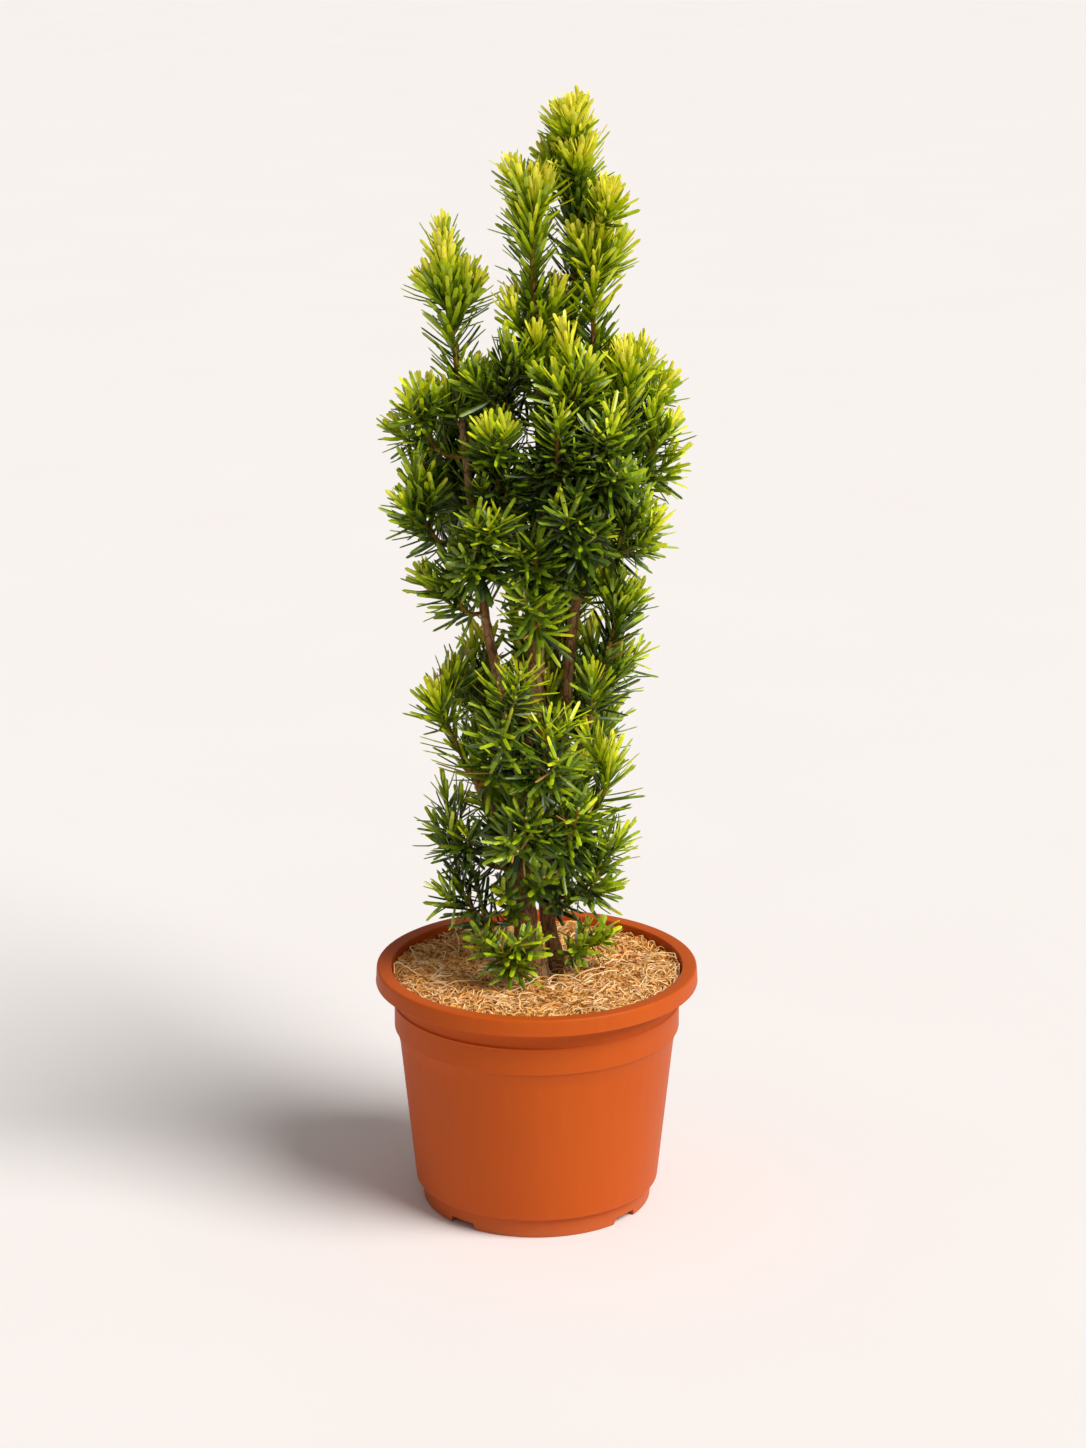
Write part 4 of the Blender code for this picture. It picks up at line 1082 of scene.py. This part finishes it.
def make_blades(name, part, template, shares, needles, pick):
    """One joined piece: a stretch of each picked needle, from share to share of its length."""
    root, heading, face, size, arch, girth = (values[pick] for values in needles)
    flat = unit(np.cross(heading, face))
    face = np.cross(flat, heading)
    reach = size[:, None] * shares
    paths = (root[:, None] + heading[:, None] * reach[:, :, None]
             + face[:, None] * ((size * arch)[:, None] * shares ** 2)[:, :, None])
    sides = np.repeat(flat[:, None], len(shares), axis=1)
    overs = np.cross(tangents(paths), sides)
    widths = np.repeat((girth * NEEDLE_WIDTH / 2)[:, None], len(shares), axis=1)
    depths = np.full_like(widths, NEEDLE_THICKNESS / 2)
    mesh = strew(name + part, template, paths, sides, overs, widths, depths)
    finish_piece(name + part, mesh, bpy.data.materials[name], list(MASSES),
                 smooth_angle=20)


def make_needles(stems, plan):
    """All needles: for each tint one piece of inner blades and one of outer blades."""
    rows = lay_needles(stems)
    root, heading, face, size, arch, tone, girth, dry = (np.array(item) for item in zip(*rows))
    keep = (root + heading * size[:, None])[:, 2] > SOIL_TOP + MAT_THICKNESS
    for limb in plan.values():
        for share in CLEAR_SHARES:
            spot = root + heading * (size * share)[:, None]
            near = distances(spot, limb["path"][:-1], limb["path"][1:]).min(axis=1)
            keep &= near > limb["radii"].mean() + CLEAR_GAP
    needles = (root, heading, face, size, arch, girth)
    inner = stalk(4, INNER_SCALES, False)
    outer = stalk(4, OUTER_SCALES, True)
    last = len(TINTS) - 2
    for number, (name, code) in enumerate(TINTS.items()):
        waxy_needle(name, code)
        for part, template, shares, younger in (("_inner", inner, INNER_RINGS, 0.0),
                                                ("_outer", outer, OUTER_RINGS, OUTER_YOUNGER)):
            tint = np.clip(np.rint(tone + younger), 0, last).astype(int)
            tint[dry] = last + 1
            pick = keep & (tint == number)
            if pick.any():
                make_blades(name, part, template, np.array(shares), needles, pick)


def make_buds(stems):
    """A pale bud at the tip of every shoot."""
    tips = np.array([stem["path"][-1] for stem in stems if stem["radius"]])
    ahead = np.array([tangents(stem["path"])[-1] for stem in stems if stem["radius"]])
    template = stalk(BUD_SIDES, BUD_SCALES, True)
    along = np.array(BUD_RINGS) * BUD_LENGTH
    paths = tips[:, None] + ahead[:, None] * along[None, :, None]
    girth = np.full(paths.shape[:2], BUD_RADIUS)
    mesh = strew("buds", template, paths, *ring_frames(paths, SHOOT_HINT), girth, girth)
    finish_piece("buds", mesh, waxy_needle("bud_scales", "#CFC25A"), list(MASSES),
                 smooth_angle=50)


# Coir

def mat_height(x, y):
    """Uneven top of the fibre, in low swells with finer lumps."""
    wave = (math.sin(x / SWELL_ACROSS + SWELL_SHIFT) * math.cos(y / SWELL_BACK)
            + ASLANT_SHARE * math.sin((x + y) / SWELL_ASLANT))
    lump = noise.noise(Vector((x / LUMP_SIZE, y / LUMP_SIZE, 0.0)))
    return (SOIL_TOP + GAP + MAT_THICKNESS + MAT_SWELL * (SWELL_MIDDLE + SWELL_SWING * wave)
            + LUMP_HEIGHT * lump)


def hole_edge(turn):
    """Radius of the ragged hole round the stems, in one direction."""
    return MAT_HOLE * (1 + HOLE_LOBES * math.sin(3 * turn) + HOLE_TEETH * math.sin(7 * turn + 1))


def make_coir_mat(paint):
    """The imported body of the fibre: a turned ring whose top is pulled into lumps."""
    bm = bmesh.new()
    foot = SOIL_TOP + GAP
    radii = [MAT_HOLE + (MAT_RADIUS - MAT_HOLE) * step / MAT_RINGS for step in range(MAT_RINGS + 1)]
    top = [bm.verts.new((radius, 0, foot + MAT_THICKNESS)) for radius in radii]
    base = [bm.verts.new((MAT_RADIUS - MAT_DRAWN_IN, 0, foot + MAT_FOOT_RISE)),
            bm.verts.new((MAT_HOLE, 0, foot))]
    loop = top + base
    edges = [bm.edges.new(pair) for pair in zip(loop, loop[1:] + loop[:1])]
    turned(bm, loop + edges, MAT_STEPS)
    for vert in bm.verts:
        turn = math.atan2(vert.co.y, vert.co.x)
        share = (MAT_RADIUS - vert.co.xy.length) / (MAT_RADIUS - MAT_HOLE)
        hole = hole_edge(turn)
        inner = Vector((hole * math.cos(turn), hole * math.sin(turn), 0)) + MAT_CENTRE
        rim = Vector((MAT_RADIUS * math.cos(turn), MAT_RADIUS * math.sin(turn), 0))
        place = rim.lerp(inner, share)
        rise = vert.co.z - foot
        if rise > MAT_FOOT_RISE + GAP:
            fade = min(1.0, MAT_EDGE_RISE * (1 - share) + MAT_EDGE)
            rise = (mat_height(place.x, place.y) - foot - MAT_BELOW) * fade
        vert.co = (place.x, place.y, foot + rise)
    finish_piece("coir_mat", mesh_from("coir_mat", bm), paint, ["mulch"], smooth_angle=60)


def lay_fibres(rng, count, fibre):
    """Paths of loose fibres that wander over the mat, inside the pot's wall."""
    turn = rng.uniform(0, math.tau, count)
    nearest, farthest = MAT_HOLE * FIBRE_INNER, MAT_RADIUS - FIBRE_MARGIN
    out = np.sqrt(rng.uniform(nearest ** 2, farthest ** 2, count))
    place = np.stack([out * np.cos(turn), out * np.sin(turn)], axis=1)
    heading = rng.uniform(0, math.tau, count)
    bend = rng.normal(0, fibre["curl"], count)
    lift = rng.uniform(0.0, 1.0, count) ** 2 * fibre["loft"]
    limit = MAT_RADIUS - FIBRE_LIMIT
    paths = np.zeros((count, fibre["rings"], 3))
    for ring in range(fibre["rings"]):
        arc = math.sin(math.pi * ring / (fibre["rings"] - 1))
        for index in range(count):
            x, y = place[index]
            reach = math.hypot(x, y)
            if reach > limit:
                x, y = x * limit / reach, y * limit / reach
            rise = mat_height(x, y) - FIBRE_DEPTH + lift[index] * (FIBRE_REST + arc)
            paths[index, ring] = (x, y, rise)
        heading = heading + bend + rng.normal(0, FIBRE_WANDER, count)
        place = place + fibre["step"] * np.stack([np.cos(heading), np.sin(heading)], axis=1)
    return paths


def make_fibres():
    """Thousands of fibres in three tints, and a few long strands that stand up from them."""
    rng = np.random.default_rng(SEED + 2)
    pale = coir("pale_coir", "#FBC680", "#FFE6B8")
    golden = coir("golden_coir", "#E6A24C", "#FFCC80")
    brown = coir("brown_coir", "#A66A2C", "#DDA352")
    kinds = (("coir_fibres_pale", pale, PALE_COUNT, FIBRE),
             ("coir_fibres_golden", golden, GOLDEN_COUNT, FIBRE),
             ("coir_fibres_brown", brown, BROWN_COUNT, FIBRE),
             ("coir_strands", pale, STRAND_COUNT, STRAND))
    for name, paint, count, fibre in kinds:
        template = stalk(fibre["sides"], [1.0] * fibre["rings"], False)
        paths = lay_fibres(rng, count, fibre)
        girth = np.repeat(rng.uniform(*fibre["girths"], (count, 1)) * MM, fibre["rings"], axis=1)
        mesh = strew(name, template, paths, *ring_frames(paths, FIBRE_HINT), girth, girth)
        finish_piece(name, mesh, paint, ["mulch"], smooth_angle=80)


def make_crumbs(paint):
    """Compost crumbs in the hole of the mat, round the stems."""
    rng = random.Random(SEED + 3)
    bm = bmesh.new()
    for _ in range(CRUMB_COUNT):
        turn = rng.uniform(0, math.tau)
        out = MAT_HOLE * CRUMB_REACH * math.sqrt(rng.random())
        size = rng.uniform(*CRUMB_RADII) * MM
        height = SOIL_TOP + CRUMB_RISE * size
        spot = Vector((out * math.cos(turn), out * math.sin(turn), height)) + MAT_CENTRE
        made = bmesh.ops.create_icosphere(bm, subdivisions=1, radius=size)["verts"]
        for vert in made:
            vert.co *= 1 + CRUMB_LUMPS * noise.noise(vert.co / size + spot / MM)
            vert.co.z *= CRUMB_FLAT
        bmesh.ops.translate(bm, vec=spot, verts=made)
    finish_piece("compost_crumbs", mesh_from("compost_crumbs", bm), paint, [])


# Pot

def soften(outline, steps=4):
    """Round each corner of an outline by its own radius, less where its sides are short."""
    points = [Vector(corner[:2]) for corner in outline]
    soft = [points[0]]
    for index in range(1, len(points) - 1):
        before, corner, after = points[index - 1:index + 2]
        cut = min(outline[index][2], CORNER_SHARE * (before - corner).length,
                  CORNER_SHARE * (after - corner).length)
        one = corner + (before - corner).normalized() * cut
        two = corner + (after - corner).normalized() * cut
        for step in range(steps + 1):
            t = step / steps
            soft.append((1 - t) ** 2 * one + 2 * t * (1 - t) * corner + t ** 2 * two)
    soft.append(points[-1])
    return [(point.x, point.y) for point in soft]


def pot_profile():
    """Half outline of the pot, from the middle of its underside out, up, and down inside.

    Each corner has its radius, its height and how far it is rounded.
    """
    lip_foot = POT_TOP - LIP_DROP
    body_foot = FOOT_RADIUS + FOOT_FLARE + FOOT_STEP
    collar_edge = COLLAR_FOOT + COLLAR_SLANT
    wall_top = BODY_TOP_RADIUS - POT_WALL
    return soften([
        (0, 0, 0),
        (RECESS_INNER, 0, SOFT), (RECESS_INNER, RECESS_DEPTH, SOFT),
        (RECESS_OUTER, RECESS_DEPTH, SOFT), (RECESS_OUTER, 0, SOFT),
        (FOOT_RADIUS, 0, SOFT), (FOOT_RADIUS + FOOT_FLARE, FOOT_HEIGHT, CRISP),
        (body_foot, FOOT_HEIGHT + CRISP, ROUND),
        (BODY_TOP_RADIUS, COLLAR_FOOT, FAIR),
        (COLLAR_RADIUS - COLLAR_EDGE, collar_edge, FINE),
        (COLLAR_RADIUS, collar_edge + COLLAR_EDGE_RISE, FINE),
        (COLLAR_RADIUS, COLLAR_LINE - COLLAR_LINE_RISE, CRISP),
        (COLLAR_RADIUS + COLLAR_LINE_RISE, COLLAR_LINE, CRISP),
        (COLLAR_RADIUS - CRISP, COLLAR_LINE + COLLAR_LINE_RISE, SOFT),
        (COLLAR_RADIUS - NECK_DEPTH, lip_foot - 2 * FAIR, FAIR),
        (COLLAR_RADIUS + COLLAR_FLARE, lip_foot, FAIR),
        (LIP_RADIUS - CRISP, lip_foot, CRISP),
        (LIP_RADIUS + LIP_BEAD, lip_foot + CRISP, CRISP),
        (LIP_RADIUS, lip_foot + 2 * ROUND, CRISP),
        (LIP_RADIUS - CRISP, POT_TOP, LIP_ROUND),
        (MOUTH_RADIUS, POT_TOP - CRISP, SOFT),
        (MOUTH_RADIUS - MOUTH_DRAFT, lip_foot + MOUTH_FLARE, ROUND),
        (wall_top + COLLAR_RADIUS + COLLAR_FLARE - BODY_TOP_RADIUS, lip_foot, ROUND),
        (wall_top, COLLAR_FOOT, FAIR),
        (body_foot - POT_WALL, FOOT_HEIGHT + 2 * FAIR, ROUND),
        (FOOT_RADIUS - POT_WALL, FLOOR_HEIGHT, ROUND),
        (0, FLOOR_HEIGHT, 0),
    ])


def notch_cutter(index):
    """A block with slanted ends, below the foot's edge, which lets water out."""
    bm = bmesh.new()
    bmesh.ops.create_cube(bm, size=1.0)
    near = RECESS_OUTER - NOTCH_INWARD
    depth = FOOT_RADIUS + NOTCH_OUTWARD - near
    bmesh.ops.scale(bm, vec=(NOTCH_WIDTH, depth, 2 * NOTCH_HEIGHT), verts=bm.verts)
    for vert in bm.verts:
        if vert.co.z > 0:
            vert.co.x -= math.copysign(NOTCH_SLANT, vert.co.x)
    bmesh.ops.translate(bm, vec=(0, -near - depth / 2, 0), verts=bm.verts)
    turn = math.radians(NOTCH_FIRST + 360.0 / NOTCH_COUNT * index)
    bmesh.ops.rotate(bm, cent=(0, 0, 0), matrix=Matrix.Rotation(turn, 3, "Z"), verts=bm.verts)
    return mesh_from("notch_cutter", bm)


def make_pot(paint):
    """The pot, turned from its profile, with the notches cut out of its foot."""
    bm = bmesh.new()
    verts = [bm.verts.new((radius, 0, height)) for radius, height in pot_profile()]
    edges = [bm.edges.new(pair) for pair in zip(verts, verts[1:])]
    turned(bm, verts + edges, POT_STEPS)
    blank_pot = put("pot_blank", mesh_from("pot_blank", bm))
    for index in range(NOTCH_COUNT):
        cutter = put("notch_cutter", notch_cutter(index))
        cut = blank_pot.modifiers.new("notch", "BOOLEAN")
        cut.operation = "DIFFERENCE"
        cut.solver = "EXACT"
        cut.object = cutter
        state = bpy.context.evaluated_depsgraph_get()
        result = bpy.data.meshes.new_from_object(blank_pot.evaluated_get(state))
        blank_pot.modifiers.clear()
        blank_pot.data = result
        bpy.data.objects.remove(cutter, do_unlink=True)
    mesh = blank_pot.data
    bpy.data.objects.remove(blank_pot, do_unlink=True)
    finish_piece("pot_moulded", mesh, paint, ["pot"], smooth_angle=35)


# Camera, floor and light

def look_from(thing, back):
    """Turn a camera or a light so that it looks against this direction."""
    thing.rotation_mode = "QUATERNION"
    thing.rotation_quaternion = (-back).to_track_quat("-Z", "Y")


def make_camera():
    """The camera, at the photograph's viewing angle."""
    back = Vector((0.0, -math.cos(CAMERA_PITCH), math.sin(CAMERA_PITCH)))
    data = bpy.data.cameras.new("camera")
    data.lens = CAMERA_LENS
    data.sensor_width = SENSOR
    camera = put("camera", data)
    camera.location = AIM + back * CAMERA_DISTANCE
    look_from(camera, back)
    bpy.context.scene.camera = camera


def make_floor():
    """A wide plain floor, which isn't a piece of the plant."""
    bm = bmesh.new()
    bmesh.ops.create_grid(bm, x_segments=8, y_segments=8, size=FLOOR_HALF)
    floor = put("floor", mesh_from("floor", bm))
    floor.data.transform(Matrix.Translation((0, 0, -FLOOR_DROP)))
    floor.data.materials.append(studio_paint())


def make_light():
    """Even studio air, and one very broad soft key from the right that lights the floor evenly."""
    bpy.context.scene.view_settings.view_transform = "Standard"
    world = bpy.data.worlds.new("studio_air")
    world.use_nodes = True
    air = world.node_tree.nodes["Background"]
    air.inputs["Color"].default_value = linear("#FFFFFF")
    air.inputs["Strength"].default_value = AIR_STRENGTH
    bpy.context.scene.world = world
    data = bpy.data.lights.new("key", "SUN")
    data.energy = KEY_STRENGTH
    data.angle = math.radians(KEY_BREADTH)
    turn, rise = math.radians(KEY_TURN), math.radians(KEY_RISE)
    source = Vector((math.cos(rise) * math.sin(turn), -math.cos(rise) * math.cos(turn), math.sin(rise)))
    look_from(put("key", data), source)


def main():
    """The whole scene, from the floor to the needles."""
    make_camera()
    make_floor()
    make_light()
    compost = damp_compost()
    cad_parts["soil"].data.materials.clear()
    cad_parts["soil"].data.materials.append(compost)
    make_pot(moulded_polypropylene())
    make_crumbs(compost)
    make_coir_mat(coir("packed_coir", "#6E3A12", "#C8842F", 0.9))
    make_fibres()
    plan = limb_plan()
    bark = yew_bark()
    for name, limb in plan.items():
        make_bark(name, limb, bark)
    stems = grow_twigs(grow_shoots(plan), plan)
    stems = clothe_limbs(grow_limb_twigs(stems, plan), plan)
    make_twigs(stems)
    make_buds(stems)
    make_needles(stems, plan)


main()
